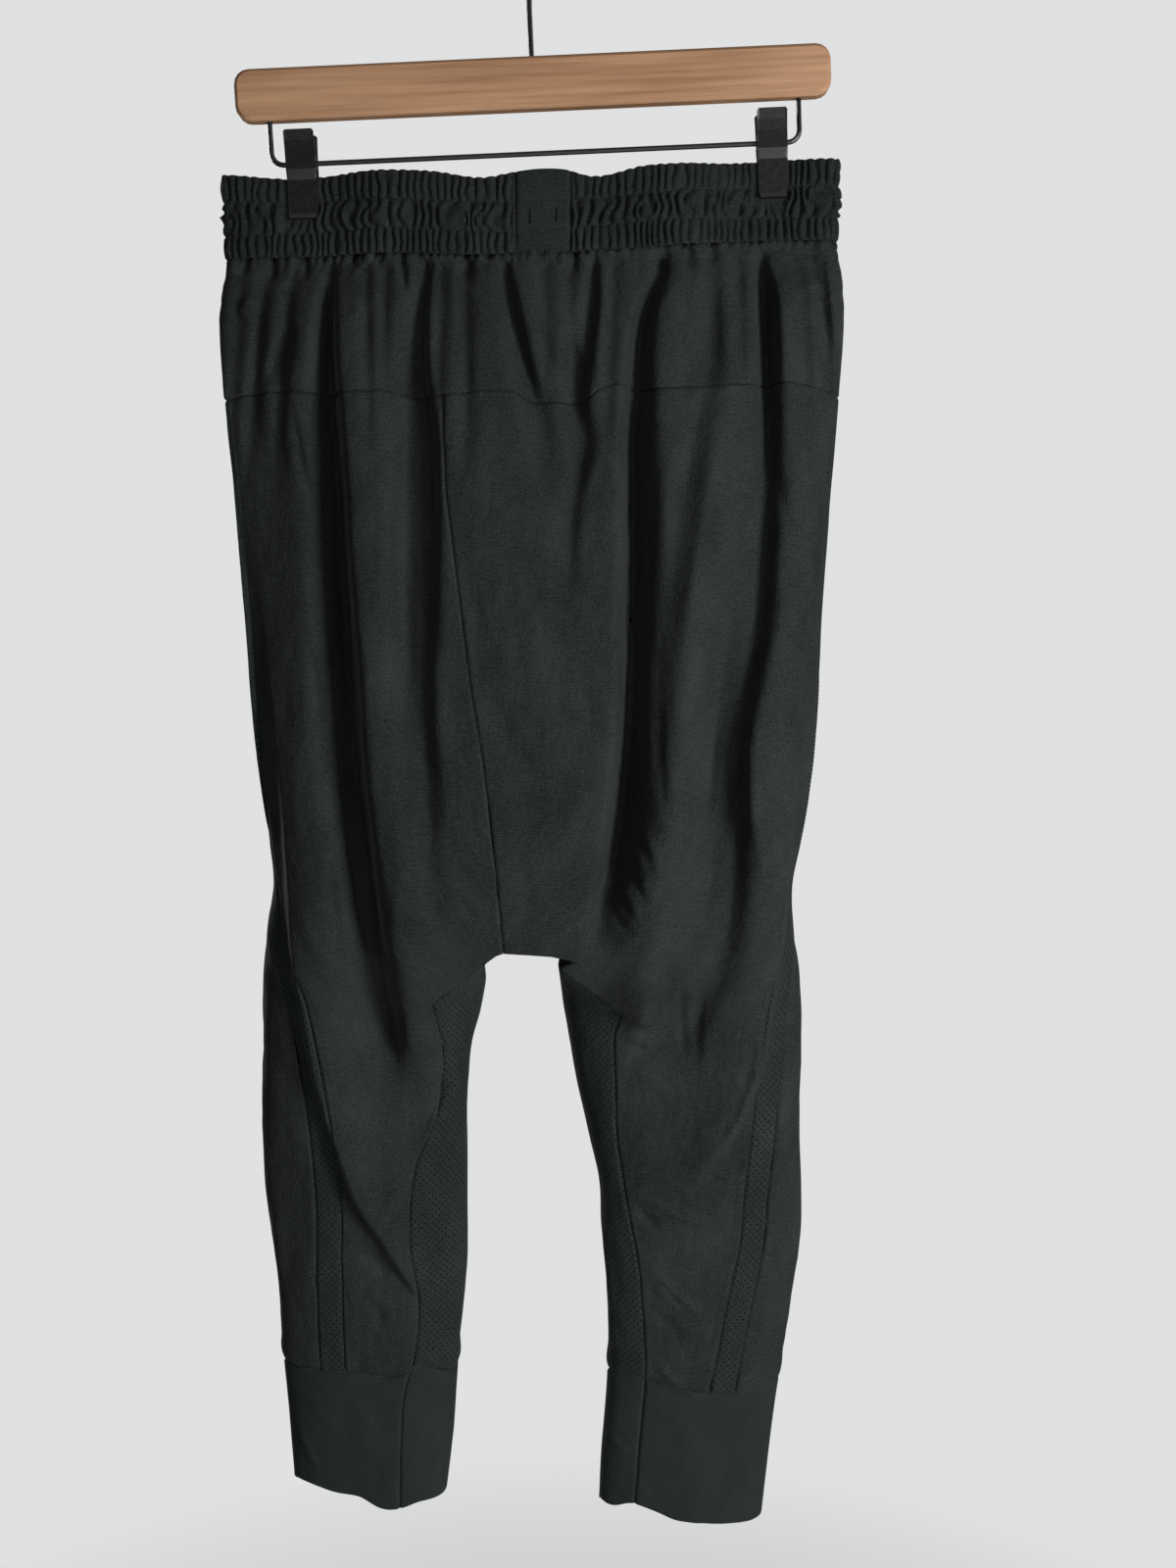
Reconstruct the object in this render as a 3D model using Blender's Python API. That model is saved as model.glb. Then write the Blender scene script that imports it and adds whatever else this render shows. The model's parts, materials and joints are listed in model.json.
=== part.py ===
"""Track pants with a dropped crotch, gripped by the two clips of a wooden trouser hanger.

Metres, +Z up. The wearer's front faces -Y. The origin is where a rail or a nail touches
the top of the hook's inside, and the whole part hangs below it.

The cloth follows one family of flattened ovals, a hip oval that parts into one oval for
each leg under the crotch. Every sewn piece is a stretch of those ovals between two seams
and two levels. Folds are then added to the ovals' depth.
"""

import math

import bmesh
import bpy
import numpy as np
from mathutils import Vector

MM = 0.001

# Cloth
WALL = 1.5 * MM
CUFF_WALL = 1.8 * MM
SEAM_GAP = 0.3 * MM
OVAL_POWER = 2.6
OVAL_STEPS = 360
ROW_SAMPLES = 241
BEND_WEIGHT = 7 * MM
FOLD_DEPTHS = (16 * MM, 14 * MM)
SEAM_DEPTH = 20 * MM
STRIP_WIDTH = 18 * MM

# Waistband
BAND_WALL = 1.5 * MM
BAND_GATHERS = 112
GATHER_RISE = 1.3 * MM
PRESSED_RISE = 0.3 * MM
CENTRE_PANEL = (-9 * MM, 27 * MM)
CENTRE_PANEL_RISE = 1.0 * MM
CENTRE_PANEL_EDGE = 1.2 * MM
CENTRE_PANEL_STEPS = 8
CENTRE_PANEL_LEVEL = -190 * MM
CHANNEL_HEIGHT = 18 * MM
# How much of the gathers' rise each line has: the line, then the share.
GATHER_LINES = ((0, 0.45), (0.5, 1), (1, 0.15), (1.5, 1), (2, 0.15), (2.5, 1), (3, 0.3))
# The line at which the band's inner face is divided
LINING_MIDDLE = 1.6

# Levels
BAND_BOTTOM = -216 * MM
YOKE_LEVEL = -311 * MM
YOKE_FADE = -420 * MM
CROTCH_LEVEL = -684 * MM
DEPTH_BLEND = 62 * MM
WIDTH_BLEND = (3 * MM, 40 * MM)
SEAM_REACH = 60 * MM
CUFF_LEVEL = {"left": -999 * MM, "right": -1009 * MM}
HEM_LEVEL = {"left": -1096 * MM, "right": -1111 * MM}
CUFF_FADE = 60 * MM

# Hanger
HANGER_TILT = math.radians(2.5)
BAR_CENTRE = Vector((2 * MM, 0, -104.6 * MM))
BAR_LENGTH, BAR_DEPTH, BAR_HEIGHT = 398 * MM, 13 * MM, 33.5 * MM
BAR_CORNER = 10 * MM
BAR_EDGE = 2.4 * MM
# Across the bar's depth: share of its half depth, share of the edge's rounding.
BAR_PROFILE = ((-1, 1), (-0.82, 0.42), (-0.63, 0), (0.63, 0), (0.82, 0.42), (1, 1))
DRILL_DEEPER = 1 * MM
DRILL_ABOVE = 3 * MM
HOLE_CLEARANCE = 0.15 * MM
HOOK_WIRE = 1.9 * MM
HOOK_INNER = 18 * MM
HOOK_STEM = 30 * MM
HOOK_IN_BAR = 13 * MM
# The crook's start, end and step in degrees, from level on the right, and its bend.
CROOK_DEGREES = (-60, 210, 15)
BEND_HANDLE = 11 * MM
BEND_STEPS = 5
ROD_WIRE = 1.75 * MM
ROD_BELOW = 44.8 * MM
ROD_HALF = 177.5 * MM
ROD_CORNER = 8 * MM
ROD_CORNER_STEPS = 5
ROD_IN_BAR = 9 * MM
WIRE_SIDES = 8
WELD = 0.002 * MM

# Clips
CLIP_ALONG_ROD = {"left": -157.5 * MM, "right": 158.5 * MM}
CLIP_WIDTH = 20 * MM
JAW_PLATE = 1.6 * MM
JAW_TAPER = 0.06
JAW_EDGE = 0.12
EAR_PLATE = 1.2 * MM
EAR_RADIUS = 4.2 * MM
EAR_ROOT = 5.7 * MM
EAR_INSET = 0.05 * MM
SPRING_RADIUS = 3.3 * MM
SPRING_SIDES = 12
GRIP_HALF = 1.9 * MM
GRIP_SHARE = 0.6
PINCH_HALF = 13 * MM
PINCH_REACH = 46 * MM
PINCH_LOW, PINCH_FULL = -262 * MM, -193 * MM

# A jaw's inner face: distance from the middle plane, height over the rod. Millimetres.
JAW_FACE = (
    (7.6, 20.5), (6.1, 14), (5.1, 7), (4.8, 0), (4.7, -4.5), (3.6, -8), (2.6, -11),
    (2.5, -22), (2.5, -33), (3.4, -36), (4.4, -37),
)

# All tables below are in millimetres.
# Hips: height, left side, right side, depth to the front, depth to the back.
HIP_SECTIONS = (
    (-150, -208, 208, 14, 11),
    (-190, -206, 207, 15, 12),
    (-218, -205, 207, 17, 14),
    (-245, -210, 212, 27, 21),
    (-311, -209, 210, 42, 30),
    (-372, -204, 206, 46, 32),
    (-452, -198, 201, 51, 33),
    (-562, -191, 196, 57, 33),
    (-617, -185, 188, 60, 32),
    (-645, -183, 183, 61, 32),
    (-674, -188, 184, 61, 31),
    (-702, -190, 188, 59, 31),
    (-760, -193, 190, 48, 30),
    (-830, -194, 192, 34, 28),
)
# Legs: height, outer side, inner side, depth to the front, depth to the back.
LEG_SECTIONS = {
    "left": (
        (-684, -189, -19, 36, 31),
        (-687, -189, -25, 36, 31),
        (-693, -190, -31, 36, 31),
        (-717, -191, -34, 35, 31),
        (-738, -192, -38, 34, 30),
        (-760, -193, -44, 33, 29),
        (-788, -194, -47, 32, 29),
        (-861, -193, -48, 30, 27),
        (-934, -186, -49, 27, 25),
        (-998, -183, -56, 24, 23),
        (-1047, -180, -59, 23, 22),
        (-1104, -177, -66, 22, 21),
    ),
    "right": (
        (-684, 186, 12, 36, 31),
        (-687, 186, 16, 36, 31),
        (-704, 188, 18, 36, 31),
        (-738, 190, 22, 34, 30),
        (-788, 191, 31, 32, 29),
        (-824, 192, 39, 31, 28),
        (-861, 193, 47, 30, 27),
        (-897, 193, 49, 29, 26),
        (-934, 189, 52, 27, 25),
        (-972, 184, 53, 26, 24),
        (-1014, 178, 53, 24, 23),
        (-1066, 172, 49, 23, 22),
        (-1120, 167, 47, 22, 21),
    ),
}
# Seams down the middle of the front and of the back: height, place across.
CENTRE_FRONT = (
    (-216, -57), (-311, -57), (-376, -55), (-416, -50), (-457, -45), (-499, -40),
    (-557, -31), (-625, -23), (-684, -18),
)
CENTRE_BACK = ((-216, -2), (-311, -4), (-560, -7), (-684, -14))
# Where each inner leg panel meets the front, then the cuff's own seam.
INNER_FRONT = {
    "left": (
        (-684, -18), (-687, -24), (-693, -31), (-706, -47), (-724, -65), (-735, -65),
        (-752, -62), (-775, -62), (-805, -67), (-844, -82), (-900, -86), (-938, -82), (-999, -88),
        (-1014, -93),
        (-1046, -96), (-1104, -98),
    ),
    "right": (
        (-684, -18), (-687, 17), (-696, 20), (-707, 32), (-718, 45), (-730, 57), (-752, 57),
        (-788, 58),
        (-823, 59), (-846, 62), (-872, 66), (-914, 74), (-954, 78), (-1009, 80),
        (-1048, 77), (-1120, 72),
    ),
}
INNER_BACK = {
    "left": (
        (-684, -14), (-687, -24), (-696, -36), (-710, -46), (-740, -60), (-788, -70),
        (-861, -74), (-934, -76), (-999, -82), (-1104, -86),
    ),
    "right": (
        (-684, -14), (-687, 16), (-696, 22), (-710, 35), (-740, 49), (-788, 58),
        (-861, 70), (-934, 76), (-1009, 78), (-1120, 72),
    ),
}
# How far the side strip's back edge lies round to the front of the outermost line.
STRIP_EDGE = {
    "left": (
        (-216, -9), (-311, -9), (-560, -8), (-640, 2), (-656, 10), (-674, 20), (-692, 28),
        (-731, 38), (-808, 52), (-875, 53), (-914, 47), (-952, 43), (-1104, 45),
    ),
    "right": (
        (-216, -9), (-311, -9), (-560, -8), (-645, -2), (-673, 6), (-697, 18), (-724, 24),
        (-754, 28), (-792, 32), (-826, 36), (-868, 41), (-918, 43), (-959, 45), (-1120, 44),
    ),
}
# Waistband lines: place across, top edge, first and second stitch line, bottom edge.
BAND_LINES = (
    (-215, -164.0, -182.0, -204.5, -219.5),
    (-160, -166.5, -182.0, -202.5, -218.0),
    (-108, -163.6, -181.7, -200.7, -217.0),
    (-65, -164.6, -183.0, -202.0, -217.8),
    (-30, -168.7, -184.5, -203.8, -218.5),
    (-8, -165.0, -184.0, -203.6, -217.6),
    (8, -163.2, -183.6, -202.8, -217.2),
    (24, -163.8, -183.2, -201.6, -217.0),
    (40, -167.8, -182.2, -200.4, -216.0),
    (77, -161.0, -178.8, -197.0, -213.8),
    (122, -158.2, -174.6, -193.6, -209.8),
    (160, -155.0, -171.8, -192.2, -207.0),
    (215, -153.5, -171.4, -191.8, -207.0),
)
BAND_MIDDLE = BAND_LINES[6]
# Yoke seam on the front: place across, height.
YOKE_SEAM = (
    (-215, -314), (-198, -310), (-125, -310), (-94, -309.5), (-72, -314), (-49, -312),
    (-20, -310), (-8, -311.5), (-1, -316), (18, -317.5), (38, -316), (47, -309),
    (56, -305.5), (66, -307.5), (112, -307), (150, -304.5), (184, -304), (198, -307),
    (215, -313),
)
# Each leg's front: place across, height of the cuff seam, height of the hem.
CUFF_LINES = {
    "left": (
        (-195, -997, -1084), (-165, -996, -1085), (-145, -999, -1090), (-125, -998, -1094),
        (-112, -1001, -1102), (-97, -1000, -1103), (-84, -994, -1099), (-70, -998, -1098),
        (-55, -1005, -1094),
    ),
    "right": (
        (40, -1005, -1100), (56, -1003, -1104), (70, -1003, -1100), (86, -1005, -1104),
        (102, -1009, -1111), (125, -1014, -1114), (146, -1016, -1115), (165, -1012, -1115),
        (190, -1009, -1112),
    ),
}
# Folds of the front: height, place across, width to its left, width to its right, rise.
FRONT_FOLDS = {
    "left_valley": (
        (-232, -134, 5, 4, -10), (-258, -134, 6, 4.5, -16), (-285, -134, 9, 5, -18),
        (-311, -132, 16, 5, -20), (-353, -129.5, 24, 5, -23), (-419, -126.5, 30, 5, -27),
        (-496, -122, 32, 6, -28), (-576, -117, 32, 6, -27), (-634, -110.5, 28, 6.5, -24),
        (-678, -106, 24, 7, -20), (-723, -102, 18, 8, -14), (-753, -98, 13, 9, -7),
        (-785, -94, 12, 8, 0),
    ),
    "centre_left_valley": (
        (-230, -70, 5, 4, -8), (-260, -72, 8, 4, -13), (-293, -71, 10, 4, -15),
        (-315, -69, 11, 4.5, -14), (-344, -67, 12, 5.5, -13), (-388, -67, 13, 6, -12),
        (-440, -69, 15, 7, -11), (-500, -71, 16, 8, -9), (-620, -68, 15, 10, -5),
        (-680, -64, 14, 12, 0),
    ),
    "centre_diagonal": (
        (-228, -17, 5, 4, -7), (-250, -12, 7, 4, -12), (-266, -8, 8, 4, -12),
        (-290, -2, 8, 4.5, -10), (-313, 4, 9, 6, -7), (-345, 9, 9, 8, -4),
        (-376, 12, 9, 9, -2), (-420, 16, 9, 9, 0),
    ),
    "centre_right_valley": (
        (-228, 43, 4, 3, -7), (-250, 42, 7, 3.5, -10), (-281, 38, 10, 4, -9),
        (-311, 34, 16, 4, -9), (-342, 38, 17, 5, -8), (-375, 30, 14, 5, -6),
        (-419, 26, 11, 6, -3), (-470, 24, 10, 8, 0),
    ),
    "right_valley": (
        (-232, 87, 4, 5, -10), (-258, 77, 4.5, 6, -17), (-311, 70, 4.5, 9, -20),
        (-337, 67, 4.5, 12, -22), (-408, 67, 4.5, 16, -26), (-453, 65.5, 4.5, 19, -27),
        (-504, 65, 4.5, 21, -28), (-585, 59, 4.5, 21, -28), (-630, 53, 4.5, 18, -24),
        (-658, 47, 5, 14, -15), (-684, 44, 6, 12, 0),
    ),
    "right_middle_valley": (
        (-228, 119, 7, 7, -4), (-266, 120, 9, 8, -6), (-306, 117, 9, 9, -6),
        (-377, 103, 9, 9, -6), (-430, 96, 9, 10, -5), (-474, 90, 8, 10, -4),
        (-540, 86, 8, 10, 0),
    ),
    "right_soft_valley": (
        (-330, 137, 7, 7, 0), (-369, 137, 8, 8, -3), (-419, 136, 8, 8, -4),
        (-472, 133, 9, 9, -4), (-519, 124, 9, 10, -3), (-605, 117, 10, 10, -3),
        (-669, 101, 10, 10, -3), (-730, 95, 10, 10, -3), (-770, 95, 10, 10, 0),
    ),
    "far_right_valley": (
        (-230, 155, 5, 4, -11), (-252, 159, 8, 4, -17), (-304, 161, 11, 4.5, -18),
        (-364, 161, 14, 5, -17), (-419, 158, 15, 6, -15), (-474, 153, 16, 7, -14),
        (-506, 146, 16, 7, -14), (-548, 140, 18, 6, -14), (-591, 140, 20, 6, -13),
        (-640, 138, 20, 8, -12), (-695, 128, 18, 12, -10), (-744, 110, 14, 12, -6),
        (-778, 98, 14, 12, 0),
    ),
    "left_turn": (
        (-232, -190, 30, 42, 0), (-300, -188, 30, 45, -8), (-420, -186, 30, 45, -12),
        (-520, -182, 30, 42, -12), (-600, -178, 30, 40, -8), (-680, -170, 26, 34, 0),
    ),
    "left_pouch": (
        (-560, -84, 16, 22, 0), (-680, -84, 14, 22, 8), (-735, -82, 13, 20, 14),
        (-752, -82, 12, 18, 14), (-768, -82, 11, 16, 3), (-790, -82, 11, 16, 0),
    ),
    "right_pouch": (
        (-560, 80, 20, 18, 0), (-690, 80, 20, 18, 8), (-726, 78, 20, 16, 14),
        (-738, 78, 18, 14, 13), (-748, 79, 17, 13, 3), (-770, 80, 14, 12, 0),
    ),
    "left_drape": (
        (-400, -188, 5, 25, 0), (-525, -178, 4, 30, 6), (-594, -171, 4, 30, 8),
        (-668, -164, 4, 34, 10), (-732, -157, 5, 34, 11), (-782, -148, 6, 30, 11),
        (-838, -131, 6, 28, 11), (-870, -120, 6, 24, 10), (-894, -106, 6, 20, 8),
        (-921, -91, 6, 14, 5), (-945, -78, 6, 10, 0),
    ),
    "right_drape": (
        (-350, 194, 22, 5, 0), (-474, 184, 25, 4, 6), (-568, 177, 28, 4, 8),
        (-629, 175, 30, 4, 9), (-688, 169, 30, 4, 10), (-740, 163, 30, 4, 11),
        (-774, 157, 30, 4, 11), (-797, 148, 28, 4, 10), (-818, 137, 26, 4, 8),
        (-842, 120, 22, 5, 4), (-862, 106, 20, 6, 0),
    ),
}
# Folds of the back, in the same way.
BACK_FOLDS = {
    "left_back_valley": (
        (-236, -104, 7, 8, -6), (-311, -106, 10, 16, -8), (-440, -104, 12, 20, -9),
        (-600, -98, 14, 20, -7), (-720, -92, 14, 18, -3), (-780, -90, 14, 16, 0),
    ),
    "centre_back_ridge": (
        (-290, -6, 20, 20, 0), (-420, -6, 24, 24, 3), (-640, -9, 26, 26, 4),
        (-700, -10, 22, 22, 0),
    ),
    "right_back_valley": (
        (-236, 90, 8, 7, -6), (-311, 96, 16, 10, -8), (-440, 98, 20, 12, -9),
        (-600, 94, 20, 14, -7), (-720, 90, 16, 14, -3), (-780, 88, 14, 14, 0),
    ),
}
# Puckers under the waistband: place at the band, place at the yoke seam, width, depth.
FRONT_PUCKERS = (
    (-193, -202, 6, 3), (-176, -188, 6, 5), (-159, -168, 6, 5), (-110, -106, 5, 4),
    (-97, -96, 5, 4), (-58, -60, 5, 3), (-43, -42, 5, 4), (8, 12, 6, 3),
    (26, 30, 5, 3), (56, 52, 5, 3), (107, 104, 6, 3), (139, 141, 5, 4), (180, 184, 6, 4),
    (197, 200, 5, 4),
)
BACK_PUCKERS = (
    (-190, -196, 7, 3), (-160, -160, 8, 5), (-128, -124, 8, 5), (-78, -70, 8, 5),
    (-48, -46, 8, 5), (-16, -14, 8, 5), (18, 20, 8, 5), (50, 50, 8, 5), (84, 82, 8, 4),
    (124, 124, 8, 5), (158, 160, 8, 5), (190, 195, 7, 3),
)
PUCKER_FADE = (-400 * MM, -290 * MM)
FOLD_FADE = 12 * MM

YOKE_LEVELS = (-216, -230, -250, -278, -311)
BODY_LEVELS = (-311, -340, -376, -420, -470, -522, -572, -616, -652, -672, -684)
LEG_LEVELS = (-684, -687, -694, -704, -716, -732, -750, -769, -794, -828, -866, -908, -952)
CUFF_ROWS = (0, 0.3, 0.65, 1)
COLUMNS = {"front": 22, "strip": 2, "back": 8, "inner": 6}


def smooth(t):
    """0 below 0 and 1 above 1, with level ends."""
    t = np.clip(t, 0.0, 1.0)
    return t * t * (3 - 2 * t)


def ramp(value, low, high):
    return np.clip((value - low) / (high - low), 0.0, 1.0)


def curve(rows, column, at):
    """A smooth line through one column of a table, read by the table's first column."""
    table = np.array(sorted(rows), float) * MM
    x, y = table[:, 0], table[:, column]
    slope = np.gradient(y, x)
    at = np.clip(np.asarray(at, float), x[0], x[-1])
    i = np.clip(np.searchsorted(x, at) - 1, 0, len(x) - 2)
    span = x[i + 1] - x[i]
    t = (at - x[i]) / span
    return (
        (2 * t**3 - 3 * t**2 + 1) * y[i]
        + (t**3 - 2 * t**2 + t) * span * slope[i]
        + (3 * t**2 - 2 * t**3) * y[i + 1]
        + (t**3 - t**2) * span * slope[i + 1]
    )


class Oval:
    """A flattened oval at one height, measured along its girth from its outermost point,
    forwards over the front and backwards over the back."""

    def __init__(self, outer, inner, front, back):
        angle = np.radians(np.linspace(-180, 180, OVAL_STEPS + 1))
        across, rise = (
            np.sign(turn) * np.abs(turn) ** (2 / OVAL_POWER)
            for turn in (np.cos(angle), np.sin(angle))
        )
        self.x = (outer + inner) / 2 + (outer - inner) / 2 * across
        self.y = -rise * np.where(rise > 0, front, back)
        step = np.hypot(np.diff(self.x), np.diff(self.y))
        girth = np.concatenate([[0], np.cumsum(step)])
        self.whole = girth[-1]
        self.girth = girth - np.interp(0, angle, girth)
        self.front = angle >= 0
        self.back = angle <= 0

    def girth_at(self, x, face="front"):
        """The girth where the front or the back of the oval is at x."""
        part = self.front if face == "front" else self.back
        order = np.argsort(self.x[part])
        return float(np.interp(x, self.x[part][order], self.girth[part][order]))

    def at(self, girth):
        return tuple(
            np.interp(girth, self.girth, value, period=self.whole) for value in (self.x, self.y)
        )


def hip_oval(side, level):
    left, right, front, back = (curve(HIP_SECTIONS, i, level) for i in (1, 2, 3, 4))
    return Oval(right, left, front, back) if side == "right" else Oval(left, right, front, back)


def leg_oval(side, level):
    return Oval(*(curve(LEG_SECTIONS[side], i, level) for i in (1, 2, 3, 4)))


def folds_rise(folds, x, level):
    total = np.zeros_like(x)
    for rows in folds.values():
        place, left, right, rise = (curve(rows, i, level) for i in (1, 2, 3, 4))
        width = np.where(x < place, left, right)
        total = total + rise * np.exp(-(((x - place) / width) ** 2))
    return total


def puckers_rise(puckers, x, level):
    down = np.clip((BAND_BOTTOM - level) / (BAND_BOTTOM - YOKE_LEVEL), 0, 1.6)
    fade = smooth(ramp(level, *PUCKER_FADE))
    total = np.zeros_like(x)
    for band_place, yoke_place, width, depth in puckers:
        place = (band_place + (yoke_place - band_place) * down) * MM
        total = total - depth * MM * fade * np.exp(-(((x - place) / (width * MM)) ** 2))
    return total


def pinched(x, level):
    """1 where a clip presses the front and the back together, 0 away from the clips."""
    near = sum(
        1 - smooth((np.abs(x - BAR_CENTRE.x - at) - PINCH_HALF) / PINCH_REACH)
        for at in CLIP_ALONG_ROD.values()
    )
    return near * smooth(ramp(level, PINCH_LOW, PINCH_FULL))


def draped(x, y, level):
    """The depth of a plain oval's points once folded, pouched and pinched."""
    front = folds_rise(FRONT_FOLDS, x, level) + puckers_rise(FRONT_PUCKERS, x, level)
    back = folds_rise(BACK_FOLDS, x, level) + puckers_rise(BACK_PUCKERS, x, level)
    under_band = smooth((BAND_BOTTOM - level) / FOLD_FADE)
    front_depth, back_depth = FOLD_DEPTHS
    folded = y + under_band * (
        back * smooth(y / back_depth) - front * smooth(-y / front_depth)
    )
    deepest = np.where(y < 0, curve(HIP_SECTIONS, 3, level), curve(HIP_SECTIONS, 4, level))
    gripped = GRIP_HALF * np.clip(y / deepest / GRIP_SHARE, -1, 1)
    pinch = pinched(x, level)
    return folded * (1 - pinch) + gripped * pinch


def lift(side, x, y, level):
    """How far the seams and the hem rise above or dip below their levels."""
    cuff, hem = CUFF_LEVEL[side], HEM_LEVEL[side]
    band_part = ramp(level, YOKE_LEVEL, BAND_BOTTOM)
    yoke_part = np.minimum(ramp(level, YOKE_FADE, YOKE_LEVEL), 1 - band_part)
    hem_part = 1 - ramp(level, hem, cuff)
    cuff_part = np.minimum(1 - ramp(level, cuff, cuff + CUFF_FADE), 1 - hem_part)
    frontness = smooth(0.5 - y / SEAM_DEPTH)
    return (
        band_part * (curve(BAND_LINES, 4, x) - BAND_BOTTOM)
        + yoke_part * (curve(YOKE_SEAM, 1, x) - YOKE_LEVEL) * frontness
        + cuff_part * (curve(CUFF_LINES[side], 1, x) - cuff) * frontness
        + hem_part * (curve(CUFF_LINES[side], 2, x) - hem) * frontness
    )


def seam_row(side, span, part, level):
    """Points of one piece at one level. part runs from 0 at the piece's first seam to 1
    at its second: front is middle to strip, strip is its front edge to its back edge,
    back is strip to middle, inner is the front seam to the back seam."""
    hip, leg = hip_oval(side, level), leg_oval(side, level)
    above = level >= CROTCH_LEVEL
    front_x = float(curve(CENTRE_FRONT if above else INNER_FRONT[side], 1, level))
    back_x = float(curve(CENTRE_BACK if above else INNER_BACK[side], 1, level))
    strip_back = float(curve(STRIP_EDGE[side], 1, level))
    strip_front = strip_back + STRIP_WIDTH

    def on(oval):
        front, back = oval.girth_at(front_x), oval.girth_at(back_x, "back")
        first, last = {
            "front": (front, strip_front),
            "strip": (strip_front, strip_back),
            "back": (strip_back, back),
            "inner": (front, back + oval.whole),
        }[span]
        return oval.at(first + (last - first) * part)

    leg_x, leg_y = on(leg)
    if span == "inner":
        ends = [hip.at(hip.girth_at(front_x)), hip.at(hip.girth_at(back_x, "back"))]
        hip_x, hip_y = (a + (b - a) * part for a, b in zip(*ends))
    else:
        hip_x, hip_y = on(hip)
    below = CROTCH_LEVEL - level
    near, far = WIDTH_BLEND
    seam_x = {"front": front_x, "back": back_x}.get(span, 0.0)
    away = {"inner": 0.0, "strip": 1.0}.get(span, smooth(np.abs(hip_x - seam_x) / SEAM_REACH))
    x = hip_x + (leg_x - hip_x) * smooth(below / (near + (far - near) * away))
    y = hip_y + (leg_y - hip_y) * float(smooth(below / DEPTH_BLEND))
    y = draped(x, y, level)
    return np.stack([x, y, level + lift(side, x, y, level)], axis=1)


def spaced_row(side, span, level):
    """A piece's points at one level, closer together where the cloth bends."""
    columns = COLUMNS[span]
    if span == "strip":
        return seam_row(side, span, np.linspace(0, 1, columns + 1), level)
    part = np.linspace(0, 1, ROW_SAMPLES)
    step = np.diff(seam_row(side, span, part, level), axis=0)
    length = np.linalg.norm(step, axis=1)
    heading = step / length[:, None]
    turn = np.linalg.norm(np.diff(heading, axis=0), axis=1)
    cost = np.cumsum(length + BEND_WEIGHT * np.concatenate([[0], turn]))
    cost = np.concatenate([[0], cost])
    return seam_row(
        side, span, np.interp(np.linspace(0, cost[-1], columns + 1), cost, part), level
    )


def levels_of(side):
    """All levels of one side, and the index of the yoke seam, the crotch and the cuff."""
    cuff, hem = CUFF_LEVEL[side], HEM_LEVEL[side]
    upper = [z * MM for z in YOKE_LEVELS[:-1] + BODY_LEVELS[:-1] + LEG_LEVELS]
    upper.append((LEG_LEVELS[-1] * MM + cuff) / 2)
    cuffs = [cuff + (hem - cuff) * t for t in CUFF_ROWS]
    return upper + cuffs


YOKE_ROW = len(YOKE_LEVELS) - 1
CROTCH_ROW = YOKE_ROW + len(BODY_LEVELS) - 1
CUFF_ROW = CROTCH_ROW + len(LEG_LEVELS) + 1


def side_grids(side):
    """The points of every span of one side, from the waistband down to the hem."""
    grids = {
        span: np.array([spaced_row(side, span, z) for z in levels_of(side)])
        for span in COLUMNS
    }
    grids["strip"][:, 0] = grids["front"][:, -1]
    grids["strip"][:, -1] = grids["back"][:, 0]
    grids["inner"][:, 0] = grids["front"][:, 0]
    grids["inner"][:, -1] = grids["back"][:, -1]
    return grids


def outward(grids):
    """The outward direction at every point, shared by the pieces that meet there."""
    found = {}
    for side, other in (("left", "right"), ("right", "left")):
        own = grids[side]
        rows = np.arange(len(own["front"]))[:, None] <= CROTCH_ROW
        before_front = np.where(rows, grids[other]["front"][:, 1], own["inner"][:, 1])
        after_back = np.where(rows, grids[other]["back"][:, -2], own["inner"][:, -2])
        neighbours = {
            "front": (before_front, own["strip"][:, 1]),
            "strip": (own["front"][:, -2], own["back"][:, 1]),
            "back": (own["strip"][:, -2], after_back),
            "inner": (own["front"][:, 1], own["back"][:, -2]),
        }
        normals = {}
        for span, (before, after) in neighbours.items():
            wide = np.concatenate([before[:, None], own[span], after[:, None]], axis=1)
            step = np.diff(wide, axis=1)
            step /= np.linalg.norm(step, axis=2, keepdims=True)
            across = step[:, 1:] + step[:, :-1]
            down = np.gradient(own[span], axis=0)
            if span == "inner":
                down[CROTCH_ROW] = own[span][CROTCH_ROW + 1] - own[span][CROTCH_ROW]
                across = -across
            normal = np.cross(down, across)
            normals[span] = normal if side == "right" else -normal
        normals["inner"][CROTCH_ROW] = (0, 0, -1)
        for span, (row, direction) in {"front": (0, (0, -1, -1)), "back": (-1, (0, 1, -1))}.items():
            normals[span][CROTCH_ROW:CROTCH_ROW + 2, row] = direction
        for span in ("front", "back"):
            normals[span][(0, -1), :, 2] = 0
        normals["strip"][(0, -1), :, 2] = 0
        normals["inner"][-1, :, 2] = 0
        for span, normal in normals.items():
            normals[span] = normal / np.linalg.norm(normal, axis=2, keepdims=True)
        found[side] = normals
    for side, normals in found.items():
        normals["strip"][:, 0] = normals["front"][:, -1]
        normals["strip"][:, -1] = normals["back"][:, 0]
        for span, column in (("front", 0), ("back", -1)):
            above = slice(0, CROTCH_ROW + 1)
            normals[span][above, column] = found["left"][span][above, column]
            normals["inner"][CROTCH_ROW:, column] = normals[span][CROTCH_ROW:, column]
    return found


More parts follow.
